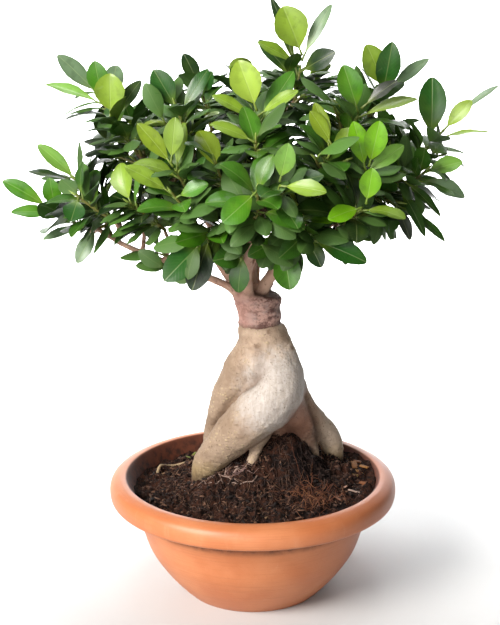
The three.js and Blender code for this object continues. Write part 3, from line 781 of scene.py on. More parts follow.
def add_stub(bm):
    """The stub: a short thick cylinder with faint lobes and a slanting cut top."""
    height = STUB_TOP - GRAFT_HEIGHT - GRAFT_GAP
    foot = Vector((STUB_X, 0, STUB_TOP - height))
    line = [foot + UP * (height * i / STUB_RINGS) for i in range(STUB_RINGS + 1)]
    for v in add_tube(bm, line, lambda t: STUB_RADIUS * value_along(STUB_SHARES, t), STUB_SIDES):
        share = (v.co.z - foot.z) / height
        turn = 3 * math.atan2(v.co.y, v.co.x - STUB_X) + 9 * share
        lobes = 1 + 0.05 * math.sin(turn) * math.sin(math.pi * share)
        v.co.x = STUB_X + (v.co.x - STUB_X) * lobes
        v.co.y *= lobes
        v.co.z -= STUB_TOP_SLOPE * (v.co.x - STUB_X) * smooth_step(0.3, 1, share)


def wood_relief(place, normal):
    """Rings and plates on the stub's side, a finer grain on its cut top, and ripples on the branches."""
    on_stub = math.hypot(place.x - STUB_X, place.y) < STUB_RADIUS + STUB_MARGIN
    if place.z < STUB_TOP + STUB_MARGIN and on_stub:
        on_top = smooth_step(0.5, 0.9, normal.z)
        bent = place.z + 2.2 * cloudy(place + UP * 60, 17, 2)
        rings = 0.1 * math.sin(bent * 0.8)
        plates = 0.7 * cloudy(Vector((place.x, place.y, place.z * 1.3)), 6, 4)
        return (rings + plates) * (1 - on_top) + 0.3 * cloudy(place, 3, 2) * on_top
    return 0.22 * cloudy(place, 5, 3)


def wood_finish():
    finish = Finish("grafted_wood_bark", Roughness=0.8, Specular_IOR_Level=0.3)
    place = finish.place()
    over = finish.axis(place, "X")
    height = finish.axis(place, "Z")
    clouds = finish.noise(place, 12, detail=4)
    blots = finish.noise(place, 4, detail=5, roughness=0.7)
    bands = finish.noise(finish.place((0.7, 0.7, 1.2)), 4.5, detail=5, roughness=0.65)
    specks = finish.noise(place, 1.2, detail=3)
    stub = finish.mix(colour("78564f"), colour("c8a092"), bands.between(0.42, 0.6))
    stub = finish.cover(stub, "513634", blots.between(0.46, 0.3) * 0.85)
    stub = finish.cover(stub, "bda49c", clouds.between(0.52, 0.68) * 0.7)
    # Painted light: the stub's left side, which faces the key light, is lighter and redder
    side = over + 12 * (blots - 0.5)
    stub = finish.cover(stub, "c9988a", side.between(*LIT_LEFT_SIDE) * 0.6)
    rim = height + STUB_TOP_SLOPE * (over - STUB_X) + 2 * (blots - 0.5)
    stub = finish.cover(stub, "4a3432", rim.between(STUB_TOP - RIM_DEPTH, STUB_TOP) * 0.7)
    grafted = (height + 5 * (blots - 0.5)).between(*GRAFT_HEIGHTS)
    stub = finish.cover(stub, "6b5144", grafted * 0.6)
    limb = finish.mix(colour("c79a84"), colour("e3bba2"), clouds.between(0.3, 0.65))
    limb = finish.cover(limb, "7a5044", blots.between(0.58, 0.7) * 0.6)
    limb = finish.cover(limb, "8d7d5c", height.between(*GREENER_HEIGHTS) * 0.6)
    base = finish.mix(stub, limb, (height + 8 * (clouds - 0.5)).between(*BRANCH_HEIGHTS))
    base = finish.cover(base, "d9bd9c", specks.between(0.64, 0.72) * 0.4)
    finish.set("Base Color", base)
    finish.bump(0.35 * bands + 0.5 * specks + 0.6 * blots, 0.6)
    return finish


def make_wood(twigs):
    bm = tinted_bmesh()
    add_stub(bm)
    for knots in BRANCHES:
        add_tube(bm, branch_line(knots, BRANCH_STEPS), lambda t: branch_radius(knots, t), BRANCH_SIDES)
    for twig in twigs:
        add_tube(bm, route_through(twig, TWIG_STEPS), lambda t: lerp(*TWIG_RADII, t), TWIG_SIDES)
    bm = even_skin(bm, WOOD_VOXEL, WOOD_SMOOTHING)
    ruffle(bm, wood_relief)
    finish_piece("grafted_wood", bm, wood_finish(), "scion_bark", "stub_and_branches")


# Leaves: a blade's pattern, and leaves made from it or read from the CAD shoots

LEAF_ARCH = 0.25
BLADE_START = 0.15
BLADE_THICKNESS = 0.5
UPPER_COLUMNS = 4
UNDER_COLUMNS = 2
BLADE_ROWS = 9
UPPER_RIB = 0.3
UNDER_RIB = (3.0, 1.4)
UNDERSIDE_SHIFT = 2
FOLDS = (0.1, 0.34)
WAVES = (0.4, 1.3)
FOLD_DROP = 0.12
STALK_RADIUS = 0.95
STALK_RADII = [STALK_RADIUS * size for size in (1.25, 0.9, 0.85, 0.5)]
STALK_SHARES = (0.01, 0.07, 0.13, 0.22)
STALK_SUNK = 0.1
STALK_SIDES = 4
STALK_TINT = colour("8d9c56")

# What tells a CAD leaf: its thickness, and the places and width of its shoulders and its waist

CAD_LEAF_THICKNESS = 0.7
CAD_THICKNESS_SLACK = 0.012
CAD_SHOULDER = 0.81
CAD_WAIST = 0.5
CAD_WAIST_WIDTH = 0.95


class Leaf:
    """A leaf's root on its stem, its arch from there, its width and the way its width lies."""

    def __init__(self, root, reach, sag, across, width):
        self.root = root
        self.reach = reach
        self.sag = sag
        self.across = across
        self.width = width

    def at(self, share):
        return self.root + self.reach * share + self.sag * share * share

    def up(self, share):
        """The way the leaf faces at a share of its length."""
        return self.across.cross((self.reach + 2 * self.sag * share).normalized())


def blade_width(share):
    if not 0 < share < 1:
        return 0
    return math.sin(math.pi * share**1.2) ** lerp(0.85, 0.62, share)


def add_blade_side(bm, side, columns):
    """One side of a flat blade: a sheet with its rows closer together at both ends, and its midrib."""
    cells = {"x_segments": columns, "y_segments": BLADE_ROWS, "size": 0.5}
    sheet = bmesh.ops.create_grid(bm, **cells)["verts"]
    for v in sheet:
        across = 2 * v.co.x
        share = (1 - math.cos(math.pi * (v.co.y + 0.5))) / 2
        inner = abs(across) < 0.99 and 0.001 < share < 0.999
        rib = (UPPER_RIB if side > 0 else lerp(*UNDER_RIB, share)) if abs(across) < 0.01 else 1
        v.co = Vector((across * blade_width(share), share, side * rib if inner else 0))
    if side < 0:
        bmesh.ops.reverse_faces(bm, faces=list({face for v in sheet for face in v.link_faces}))


@functools.cache
def blade_pattern():
    """A flat blade. x is a share of its half width, y of its length, and z is the side, at 1 or -1."""
    bm = tinted_bmesh()
    add_blade_side(bm, 1, UPPER_COLUMNS)
    add_blade_side(bm, -1, UNDER_COLUMNS)
    bmesh.ops.remove_doubles(bm, verts=bm.verts, dist=MERGE_DISTANCE)
    for edge in bm.edges:
        edge.smooth = len({face.calc_center_median().z > 0 for face in edge.link_faces}) == 1
    layer = bm.loops.layers.uv["leaf"]
    for face in bm.faces:
        shift = UNDERSIDE_SHIFT if face.calc_center_median().z < 0 else 0
        for corner in face.loops:
            corner[layer].uv = (corner.vert.co.x / 2 + 0.5 + shift, corner.vert.co.y)
    return new_mesh("blade_pattern", bm)


def add_leaf(bm, leaf, tint, luck):
    """A folded, slightly wavy blade bent along the leaf's arch, on a stalk that goes on as its midrib."""
    fold = luck.uniform(*FOLDS)
    waves = luck.uniform(*WAVES)
    start = luck.uniform(0, math.tau)
    layer = bm.verts.layers.float_color["tint"]
    for v in stamp(bm, blade_pattern()):
        share = lerp(BLADE_START, 1, v.co.y)
        out = v.co.x * leaf.width / 2
        lift = fold * abs(out) + waves * v.co.x**2 * math.sin(start + 7 * v.co.y + 2 * v.co.x)
        lift += v.co.z * BLADE_THICKNESS / 2 - fold * leaf.width * FOLD_DROP
        v.co = leaf.at(share) + leaf.across * out + leaf.up(share) * lift
        v[layer] = tint
    stalk = []
    for share in STALK_SHARES:
        sunk = (fold * leaf.width * FOLD_DROP + STALK_SUNK) * smooth_step(0, BLADE_START, share)
        stalk.append(leaf.at(share) - leaf.up(share) * sunk)
    stalk_tint = blended(tint, STALK_TINT, 0.6)
    add_tube(bm, stalk, lambda t: value_along(STALK_RADII, t), STALK_SIDES, stalk_tint)


def joined_up(edges):
    """For each edge, those of the others that a mesh edge links it to."""
    owners = {}
    for i, edge in enumerate(edges):
        for v in edge.verts:
            owners.setdefault(v, set()).add(i)
    links = []
    for i, edge in enumerate(edges):
        found = set()
        for v in edge.verts:
            for link in v.link_edges:
                found |= owners.get(link.other_vert(v), set())
        links.append(found - {i})
    return links


def leaf_through(tip, shoulder, ends):
    """The leaf that has these middles: its tip's, its shoulders' and those of its waist's two ends."""
    outer = (tip - shoulder) / (1 - CAD_SHOULDER)
    whole = (tip - mean(ends)) / (1 - CAD_WAIST)
    sag = (outer - whole) / (CAD_SHOULDER - CAD_WAIST)
    reach = whole - sag * (1 + CAD_WAIST)
    across = ends[0] - ends[1]
    if across.cross(reach).dot(sag) > 0:
        across = -across
    return Leaf(tip - reach - sag, reach, sag, across.normalized(), across.length / CAD_WAIST_WIDTH)


def leaves_of(bm):
    """Reads a CAD shoot's leaves from their thin edges: the tip's, the shoulders' and the waist's."""
    thin = [e for e in bm.edges if abs(e.calc_length() - CAD_LEAF_THICKNESS) < CAD_THICKNESS_SLACK]
    middles = [mean(v.co for v in e.verts) for e in thin]
    links = joined_up(thin)
    leaves = []
    for tip, shoulders in enumerate(links):
        if len(shoulders) != 2:
            continue
        left, right = shoulders
        waist = (links[left] | links[right]) - {tip, left, right}
        if right in links[left] and len(waist) == 2:
            shoulder = (middles[left] + middles[right]) / 2
            leaves.append(leaf_through(middles[tip], shoulder, [middles[i] for i in waist]))
    return leaves


# The crown: the CAD shoots' leaves, more leaves and side shoots between them, and old leaves inside

SHOOTS = 42
HEART = Vector((STUB_X, 0, 275))
GOLDEN_TURN = math.radians(137.5)

# Tones of leaves and stems, and how far from the crown's heart old leaves go from deep to light, as
# painted shade inside the crown

DEEP_TONE = colour("17330f")
MID_TONE = colour("3e6f1f")
FRESH_TONE = colour("4f8823")
YOUNG_TONE = colour("8bac30")
STEM_TINT = colour("87794a")
BUD_TINT = colour("a8c060")
HEART_SHADE_REACH = (30, 110)

# Leaves in front that stand out by their colour, some of it painted sheen, by the place of their tips in
# the picture

STANDOUT_REACH = 10
STANDOUT_DEPTH = 60
STANDOUT_LEAVES = {
    "b4d44c": [(238, 63)],
    "9aba3c": [(110, 73), (283, 7), (472, 101)],
    "90b23a": [(212, 108), (298, 90), (367, 45), (212, 122), (262, 130), (326, 193), (176, 117),
               (125, 166)],
    "7abc0c": [(354, 121), (380, 121), (373, 168), (328, 219)],
    "84b84c": [(289, 143), (128, 138), (397, 145), (37, 144), (463, 161), (45, 82)],
    "4f9018": [(222, 223), (176, 243), (222, 243), (343, 65), (95, 61), (50, 178), (10, 213),
               (318, 35), (2, 180)],
    "8ea82c": [(155, 135), (137, 123), (197, 126), (310, 111), (325, 102), (285, 195), (298, 185)],
    "2a5f1c": [(155, 70), (164, 281), (388, 38), (432, 78), (208, 69), (71, 222), (374, 262),
               (213, 71)],
    "1c3a18": [(184, 54), (255, 0), (333, 50), (284, 65), (323, 268), (141, 80), (269, 31),
               (26, 173)],
    # 7a9770 and 3c4038 are greyed tints that stand for the sky's sheen on those leaves as well as their
    # colour: painted reflection
    "7a9770": [(57, 55), (124, 64), (43, 240), (77, 264), (332, 5), (428, 60), (499, 86), (489, 120),
               (460, 205)],
    "3c4038": [(414, 85), (411, 240), (398, 80)],
}

# Gaps through which the background shows, each as its left, top, right and bottom in the picture

CROWN_GAPS = [(131, 90, 150, 117), (398, 90, 422, 124), (196, 88, 212, 98)]

# How far inside the CAD box, in metres, the added leaves stay

BOX_MARGIN = 0.003

# The crown's underside, whose rises say how high and between which distances, and its front opening

UNDERSIDE_HEIGHT = 250
UNDERSIDE_SLOPE = 0.27
LEFT_RISES = [(17, 52, 80), (17, 86, 125)]
RIGHT_RISES = [(36, 52, 88), (14, 95, 150)]
WINDOW_DEPTH = 14
WINDOW_TOP = 260
WINDOW_MIDDLE = 10
WINDOW_HALF = 62

# How far beside a tip the crown is covered, the gap between leaves, and how far off neighbours count

CROWN_REACH = 20
LEAF_GAP = 0.35
NEIGHBOUR_REACH = 44

# Where on a leaf room is looked for, as shares of its length, and the least share of its width

LEAF_MIDDLE = 0.55
COVERED_SHARES = (0.6, 1)
CLEAR_SHARES = (0.4, 0.7, 1)
SHEET_SHARES = (0.2, 0.45, 0.72, 0.97)
SHEET_LEAST_WIDTH = 0.4

# The least and the most of what is added, and how often it is tried, less often on the outer shoots

LEAF_LENGTHS = (25, 35)
LEAF_SLIMNESS = (0.4, 0.5)
LEAF_OPENINGS = (0.6, 1.15)
LEAF_DROOPS = (0.05, 0.25)
LEAF_TRIES = 34
SIDE_LENGTHS = (15, 27)
SIDE_TRIES = 7
OUTER_PLACE = 80
OUTER_SIDE_TRIES = 3
INNER_LENGTHS = (16, 32)
INNER_STEPS = 40
INNER_TRIES = 150
LEAVES_TRIED = 7
LEAST_LEAVES = 3

# A stem: its radius, its sideways bend, and its bud's length and radii

STEM_RADIUS = 1.5
STEM_BEND = 1.2
STEM_STEPS = 14
STEM_SIDES = 7
BUD_LENGTHS = (5, 8)
BUD_RADII = [0.75, 0.95, 0.8, 0.5, 0.1]
BUD_SIDES = 6

# How near a CAD stem's and a CAD twig's own points are looked for

STEM_FIND_REACH = 1.8
TWIG_FIND_REACH = 1.9


def in_picture(point):
    """Where a point shows in the picture, across and down."""
    seen = Matrix.Rotation(CAMERA_PITCH - math.pi / 2, 3, "X") @ (point * MM - Vector(CAMERA_PLACE))
    scale = -FOCAL_PIXELS / seen.z
    return Vector((PICTURE_MIDDLE + seen.x * scale, PICTURE_SIZE[1] / 2 - seen.y * scale))


def standout_tone(leaf):
    """The colour of the standout leaf whose tip is near this one's, if there is one."""
    if leaf.at(1).y > STANDOUT_DEPTH:
        return None
    tip = in_picture(leaf.at(1))
    for code, spots in STANDOUT_LEAVES.items():
        if any((tip - Vector(spot)).length < STANDOUT_REACH for spot in spots):
            return colour(code)
    return None


def leaf_tint(tone, luck, change=0.3):
    """A tone, a little nearer to the deep, the middle or the fresh one, lighter or darker."""
    tint = blended(tone, luck.choice([DEEP_TONE, MID_TONE, FRESH_TONE]), luck.uniform(0, change))
    light = 1 + luck.uniform(-0.6, 0.5) * change
    return (tint[0] * light, tint[1] * light, tint[2] * light, 1)


def sheet_of(leaf):
    """A coarse sheet, three points wide, that stands for a leaf where room is looked for."""
    points = []
    for share in SHEET_SHARES:
        width = blade_width((share - BLADE_START) / (1 - BLADE_START))
        half = leaf.width / 2 * max(width, SHEET_LEAST_WIDTH)
        points += [leaf.at(share) + leaf.across * half * side for side in (-1, 0, 1)]
    cells = []
    for row in range(0, len(points) - 3, 3):
        cells += [(i, i + 1, i + 4, i + 3) for i in (row, row + 1)]
    return BVHTree.FromPolygons(points, cells, epsilon=LEAF_GAP)


def under_crown(point):
    """Below the crown's underside, which rises towards its sides and its back."""
    lowest = UNDERSIDE_HEIGHT
    for rise, start, end in LEFT_RISES if point.x < STUB_X else RIGHT_RISES:
        lowest += rise * smooth_step(start, end, abs(point.x - STUB_X))
    return point.z < lowest + UNDERSIDE_SLOPE * point.y


def in_window(point):
    """The opening under the crown's front, through which the stub and the branches show."""
    aside = abs(point.x - WINDOW_MIDDLE)
    return point.y < WINDOW_DEPTH and point.z < WINDOW_TOP and aside < WINDOW_HALF


def kept_clear(point):
    """Where no leaf is added: outside the CAD box, below the crown and in its openings."""
    limits = zip(cad_box[0], point * MM, cad_box[1])
    if not all(low + BOX_MARGIN < value < high - BOX_MARGIN for low, value, high in limits):
        return True
    across, down = in_picture(point)
    if any(left < across < right and top < down < bottom for left, top, right, bottom in CROWN_GAPS):
        return True
    return in_window(point) or under_crown(point)


class Crown:
    """The leaves so far, and whether there is room for one more."""

    def __init__(self, wood):
        self.wood = BVHTree.FromBMesh(wood)
        self.sheets = []
        self.tips = []

    def add(self, leaf):
        self.sheets.append((leaf.at(LEAF_MIDDLE), sheet_of(leaf)))

    def forget(self, count):
        """Takes the last few leaves away again."""
        del self.sheets[len(self.sheets) - count :]

    def covers(self, point):
        """Whether a CAD leaf's tip stands further out in the same direction from the heart."""
        out = (point - HEART).length
        way = (point - HEART) / out
        for tip in self.tips:
            along = (tip - HEART).dot(way)
            if along > out + 1 and (tip - HEART - way * along).length < CROWN_REACH:
                return True
        return False

    def has_room(self, leaf):
        if not all(self.covers(leaf.at(share)) for share in COVERED_SHARES):
            return False
        if any(kept_clear(leaf.at(share)) for share in CLEAR_SHARES):
            return False
        sheet = sheet_of(leaf)
        middle = leaf.at(LEAF_MIDDLE)
        near = [other for centre, other in self.sheets if (centre - middle).length < NEIGHBOUR_REACH]
        return not any(sheet.overlap(other) for other in [self.wood, *near])

    def found_room(self, leaf):
        """Adds the leaf if there is room for it, and says whether there was."""
        room = self.has_room(leaf)
        if room:
            self.add(leaf)
        return room


def new_leaf(root, axis, azimuth, luck):
    """A leaf of a made-up size that leaves its stem at an azimuth round it."""
    side = axis.orthogonal().normalized()
    out = side * math.cos(azimuth) + axis.cross(side) * math.sin(azimuth)
    open_angle = luck.uniform(*LEAF_OPENINGS)
    heading = axis * math.cos(open_angle) + out * math.sin(open_angle)
    outwards = (root - HEART).normalized()
    facing = axis * 0.4 + UP * 0.8 + outwards * luck.uniform(0.1, 1.1)
    up = (facing - heading * heading.dot(facing)).normalized()
    length = luck.uniform(*LEAF_LENGTHS)
    droop = luck.uniform(*LEAF_DROOPS)
    reach = heading * length + up * length * LEAF_ARCH
    sag = -up * length * (LEAF_ARCH + droop)
    across = heading.cross(up).normalized() * -1
    return Leaf(root, reach, sag, across, length * luck.uniform(*LEAF_SLIMNESS))


class Shoot:
    """A CAD shoot read back: its leaves, its stem's ends and the twig that it grows from."""

    def __init__(self, number, wood):
        self.number = number
        self.node = f"leafy_shoot_{number:02}"
        self.young_node = f"young_leaves_{number:02}"
        bm = copy_of(self.node)
        self.leaves = leaves_of(bm)
        self.young = leaves_of(copy_of(self.young_node)) if self.young_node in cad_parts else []
        roots = [leaf.root for leaf in self.leaves + self.young]
        start = roots[0]
        axis = max((root - start for root in roots), key=lambda way: way.length).normalized()
        if mean(leaf.reach for leaf in self.leaves + self.young).dot(axis) < 0:
            axis = -axis
        shares = []
        for v in bm.verts:
            share = (v.co - start).dot(axis)
            if (v.co - start - axis * share).length < STEM_FIND_REACH:
                shares.append(share)
        self.axis = axis
        self.base = start + axis * min(shares)
        self.tip = start + axis * max(shares)
        self.twig = self.read_twig(wood)
        bm.free()

    def read_twig(self, wood):
        """The twig's last stretch in the CAD wood, from the rings of points before its end."""
        end = {v for v in wood.verts if (v.co - self.base).length < TWIG_FIND_REACH}
        around = {e.other_vert(v) for v in end for e in v.link_edges} - end
        beyond = {e.other_vert(v) for v in around for e in v.link_edges} - around - end
        return [mean(v.co for v in ring) for ring in (beyond, around)] + [self.base]


def more_leaves(shoot, crown, luck):
    """Leaves that find room on the shoot's own stem."""
    found = []
    for i in range(LEAF_TRIES):
        root = shoot.base.lerp(shoot.tip, luck.uniform(0.06, 0.95))
        leaf = new_leaf(root, shoot.axis, i * GOLDEN_TURN, luck)
        if crown.found_room(leaf):
            found.append(leaf)
    return found


def thin_shoot(start, axis, length, crown, luck):
    """A shoot as a list of one, with the leaves that find room on it, or an empty list."""
    leaves = []
    for i in range(LEAVES_TRIED):
        root = start + axis * length * lerp(0.35, 1, i / (LEAVES_TRIED - 1))
        leaf = new_leaf(root, axis, i * GOLDEN_TURN + start.x, luck)
        if crown.found_room(leaf):
            leaves.append(leaf)
    if len(leaves) < LEAST_LEAVES:
        crown.forget(len(leaves))
        return []
    return [(start, axis, length, leaves)]


def side_shoots(shoot, crown, luck):
    """Thin shoots beside the stem, each with the leaves that find room on it."""
    found = []
    for _ in range(SIDE_TRIES if abs(shoot.base.x) < OUTER_PLACE else OUTER_SIDE_TRIES):
        around = Matrix.Rotation(luck.uniform(0, math.tau), 3, shoot.axis)
        away = around @ shoot.axis.orthogonal().normalized()
        axis = (shoot.axis + away * luck.uniform(0.5, 1.3)).normalized()
        start = shoot.base.lerp(shoot.tip, luck.uniform(0, 0.5))
        found += thin_shoot(start, axis, luck.uniform(*SIDE_LENGTHS), crown, luck)
    return found


def leaf_finish(name):
    """Leaves in the tint of each, with a pale midrib, faint side veins and a dull, paler underside."""
    finish = Finish(name, Specular_IOR_Level=0.36)
    place = finish.place()
    tint = finish.attribute("tint")
    chart = finish.node("UVMap", {"uv_map": "leaf"}, {})
    over = finish.axis(chart, "X")
    along = finish.axis(chart, "Y")
    under = over.between(1.4, 1.6)
    across = abs(over - UNDERSIDE_SHIFT * under - 0.5)
    midrib = across.between(0.03, 0.01)
    veins = ((along - 0.6 * across) * 75).sine().between(0.75, 1)
    veins = veins * across.between(0.02, 0.1) * across.between(0.45, 0.35)
    mottle = finish.noise(place, 7, detail=3)
    clouds = finish.noise(place, 26, detail=2)
    shaded = across.between(0.15, 0.5) * 0.35 + along.between(0.65, 1) * 0.3
    base = finish.toned(tint, tint, "16280f", 0.7, mottle.between(0.5, 0.3) * 0.4)
    base = finish.toned(base, tint, "9cc040", 0.3, clouds.between(0.5, 0.75) * 0.5)
    base = finish.toned(base, tint, "b4cc4c", 0.5, along.between(0.4, 0.05) * 0.5)
    base = finish.toned(base, tint, "16280f", 0.6, shaded)
    base = finish.toned(base, tint, "c4d488", 0.5, midrib * 0.35 + veins * 0.05)
    base = finish.toned(base, tint, "768f52", 0.3, under * 0.7)
    finish.set("Base Color", base)
    finish.set("Roughness", 0.27 + 0.25 * under + 0.12 * mottle)
    finish.bump(0.5 * mottle - 0.5 * midrib * (1 - under) - 0.12 * veins, 0.25, 0.8)
    return finish


def stem_radius(share, length):
    """A stem's radius, which tapers and swells a little at each leaf."""
    return STEM_RADIUS * (1 - 0.5 * share) * (1 + 0.12 * math.sin(share * length * 1.55))


def add_stem(bm, base, axis, length, luck):
    """A green stem that bends a little and ends in a pointed bud."""
    side = axis.orthogonal().normalized() * luck.uniform(-STEM_BEND, STEM_BEND)
    shares = [i / STEM_STEPS for i in range(STEM_STEPS + 1)]
    line = [base + axis * length * t + side * math.sin(math.pi * t) * 0.6 for t in shares]
    add_tube(bm, line, lambda t: stem_radius(t, length), STEM_SIDES, STEM_TINT)
    bud = [line[-1] + axis * (luck.uniform(*BUD_LENGTHS) * i / 4 - 1) for i in range(5)]
    add_tube(bm, bud, lambda t: value_along(BUD_RADII, t), BUD_SIDES, BUD_TINT)


def add_leaves(bm, leaves, usual, luck):
    for leaf in leaves:
        tone = standout_tone(leaf)
        tint = leaf_tint(tone, luck, 0.08) if tone else leaf_tint(usual, luck)
        add_leaf(bm, leaf, tint, luck)


def add_inner_leaves(bm, leaves, luck):
    """Older leaves, painted darker the nearer they are to the crown's heart, as the shade inside the
    crown.
    """
    for leaf in leaves:
        # Painted shade: the nearer the crown's heart, the nearer the tone to the deep one
        depth = smooth_step(*HEART_SHADE_REACH, (leaf.at(1) - HEART).length)
        light_tone = luck.choice([MID_TONE, MID_TONE, FRESH_TONE])
        tone = blended(DEEP_TONE, light_tone, lerp(0.1, luck.uniform(0.4, 1), depth))
        add_leaf(bm, leaf, leaf_tint(tone, luck), luck)


def add_thin_shoot(bm, start, axis, length, leaves, luck):
    add_stem(bm, start, axis, length, luck)
    add_inner_leaves(bm, leaves, luck)


def make_shoot(shoot, crown, mature, young):
    """A CAD shoot with what is added to it, and its youngest leaves as a piece of their own."""
    luck = random.Random(shoot.number)
    bm = tinted_bmesh()
    usual = luck.choice([DEEP_TONE, MID_TONE, MID_TONE, FRESH_TONE])
    add_stem(bm, shoot.base - shoot.axis, shoot.axis, (shoot.tip - shoot.base).length, luck)
    add_leaves(bm, shoot.leaves, usual, luck)
    add_inner_leaves(bm, more_leaves(shoot, crown, luck), luck)
    for found in side_shoots(shoot, crown, luck):
        add_thin_shoot(bm, *found, luck)
    finish_piece(f"shoot_{shoot.number:02}", bm, mature, "leaf_mature", shoot.node)
    if shoot.young:
        bm = tinted_bmesh()
        add_leaves(bm, shoot.young, YOUNG_TONE, luck)
        finish_piece(f"young_{shoot.number:02}", bm, young, "leaf_young", shoot.young_node)


def make_inner_shoots(crown, mature):
    """Short shoots with old leaves straight on the branches, inside the crown, painted dark as its shade.
    """
    luck = random.Random(77)
    bm = tinted_bmesh()
    for knots in BRANCHES:
        line = branch_line(knots, INNER_STEPS)
        for _ in range(INNER_TRIES):
            start = value_along(line, luck.uniform(0.4, 0.98))
            away = Vector((luck.gauss(0, 1), luck.gauss(0, 1), luck.gauss(0.5, 0.8))).normalized()
            axis = (away + (start - HEART).normalized() * 0.5).normalized()
            for found in thin_shoot(start, axis, luck.uniform(*INNER_LENGTHS), crown, luck):
                add_thin_shoot(bm, *found, luck)
    finish_piece("inner_shoots", bm, mature, "leaf_mature")


def make_crown(shoots, wood):
    mature = leaf_finish("mature_leaf")
    young = leaf_finish("young_leaf")
    crown = Crown(wood)
    for shoot in shoots:
        for leaf in shoot.leaves + shoot.young:
            crown.add(leaf)
            crown.tips.append(leaf.at(1))
    for shoot in shoots:
        make_shoot(shoot, crown, mature, young)
    make_inner_shoots(crown, mature)


# Small things on the soil: crumbs, fibres, coir, hair roots and chips

SOIL_EDGE = 86
FIBRE_EDGE = 72
CRUMBS = 5000
CRUMB_SIZES = (0.35, 1.1)
CRUMB_STRETCHES = [(0.8, 3.2), (0.4, 1.0), (0.4, 0.8)]
FIBRES = 1500
FIBRE_LENGTHS = (3, 11)
FIBRE_RADII = (0.15, 0.5)
FIBRE_LIFTS = (0, 2.2)
FIBRE_STEPS = 3
FIBRE_SIDES = 4
COIR_FIBRES = 190
COIR_MIDDLE = (45, -40)
COIR_SPREAD = (9, 10)
COIR_LENGTHS = (7, 17)
COIR_RADII = (0.16, 0.34)
COIR_LIFTS = (0.5, 5)
COIR_STEPS = 5
HAIR_ROOTS = 18
HAIR_ROOT_STARTS = [(-34, 2), (4, -26)]
HAIR_ROOT_LENGTHS = (16, 36)
HAIR_ROOT_RADII = (0.4, 0.8)
HAIR_ROOT_STEPS = 7
HAIR_ROOT_SIDES = 5

# Each chip of bark or leaf: x, y, length, width and colour. Then the curled strip, as x and y.

CHIPS = [
    (70, -22, 8, 4, "b98d78"), (76, -30, 9, 4, "d8b6a4"), (80, -36, 6, 3, "c49a84"),
    (64, -47, 6, 3, "8d5f48"), (80, 20, 10, 5, "9a6434"), (83, 8, 8, 5, "b47c3e"),
    (85, -8, 8, 4, "96582c"), (78, 1, 7, 4, "c29a5c"), (84, 28, 8, 4, "84502a"),
    (87, 14, 7, 4, "a8702f"), (72, 12, 7, 3, "7c4a2a"), (66, -6, 6, 4, "74442a"),
    (-48, 66, 6, 2.6, "8a8f3c"), (-44, 58, 5, 2.2, "a09a48"), (-52, 56, 5, 2.2, "77803a"),
    (-70, 30, 5, 2.4, "8f6d4c"), (-60, -20, 4, 2, "6e5038"), (10, -70, 4, 2, "8a6a4a"),
    (-30, -66, 5, 2, "7a5a40"),
]
CHIP_THICKNESS = 1.1
CHIP_ROUNDING = 0.4
STRIP = [(-76, 30), (-74, 38), (-69, 45), (-62, 49), (-55, 48)]
STRIP_STEPS = 12
STRIP_SIDES = 8


def resting(x, y, lift):
    """A point at a lift above the soil."""
    return Vector((x, y, clotted(x, y) + lift))


def root_shade_share(x, y):
    """How far the soil is painted dark, as the shade in the lee of the thick roots."""
    return 0.8 * smooth_step(*ROOT_SHADE_REACH, (Vector((x, y)) - Vector(ROOT_SHADE_MIDDLE[:2])).length)


def on_disc(luck, reach):
    radius = reach * math.sqrt(luck.random())
    angle = luck.uniform(0, math.tau)
    return radius * math.cos(angle), radius * math.sin(angle)


def colours(*codes):
    return [colour(code) for code in codes]


def finish_litter(name, bm, look, grain, roughness):
    """Finishes a piece that lies on the soil, dull and specked, in the tint of each of its parts."""
    finish = Finish(look, Roughness=roughness)
    specks = finish.noise(finish.place(), grain, detail=4, roughness=0.7)
    tint = finish.attribute("tint")
    finish.set("Base Color", finish.toned(tint, tint, "1c100b", 0.7, specks.between(0.56, 0.36) * 0.7))
    finish.bump(specks, 0.3)
    finish_piece(name, bm, finish, "soil")


def make_crumbs():
    luck = random.Random(11)
    lump = tinted_bmesh()
    bmesh.ops.create_icosphere(lump, subdivisions=1, radius=1)
    lump = new_mesh("crumb_pattern", lump)
    bm = tinted_bmesh()
    layer = bm.verts.layers.float_color["tint"]
    tints = colours("1c0d07", "301a11", "48291c", "644230", "86604a")
    for _ in range(CRUMBS):
        x, y = on_disc(luck, SOIL_EDGE)
        size = CRUMB_SIZES[0] + CRUMB_SIZES[1] * luck.random() ** 3
        middle = resting(x, y, 0.25 * size)
        # Crumbs under the thick roots are painted darker, as their shade
        tint = blended(luck.choice(tints), tints[0], root_shade_share(x, y))
        stretch = Vector([luck.uniform(*ends) for ends in CRUMB_STRETCHES]) * size
        turn = Matrix.Rotation(luck.uniform(0, math.tau), 3, "Z")
        for v in stamp(bm, lump):
            rough = 1 + 1.2 * noise.noise(v.co * 1.9 + middle)
            v.co = middle + turn @ (v.co * stretch) * rough
            v[layer] = tint
    finish_litter("peat_crumbs", bm, "crumbs", 0.8, 0.95)


def add_fibre(bm, luck, x, y, length, radius, lift, tint, steps):
    """A fine fibre that lies on the soil and bends as it goes."""
    heading = luck.uniform(0, math.tau)
    line = []
    for i in range(steps + 1):
        line.append(resting(x, y, radius + lift * math.sin(math.pi * i / steps)))
        heading += luck.uniform(-0.6, 0.6)
        x += math.cos(heading) * length / steps
        y += math.sin(heading) * length / steps
    add_tube(bm, line, lambda t: radius * (1 - 0.5 * t), FIBRE_SIDES, tint)


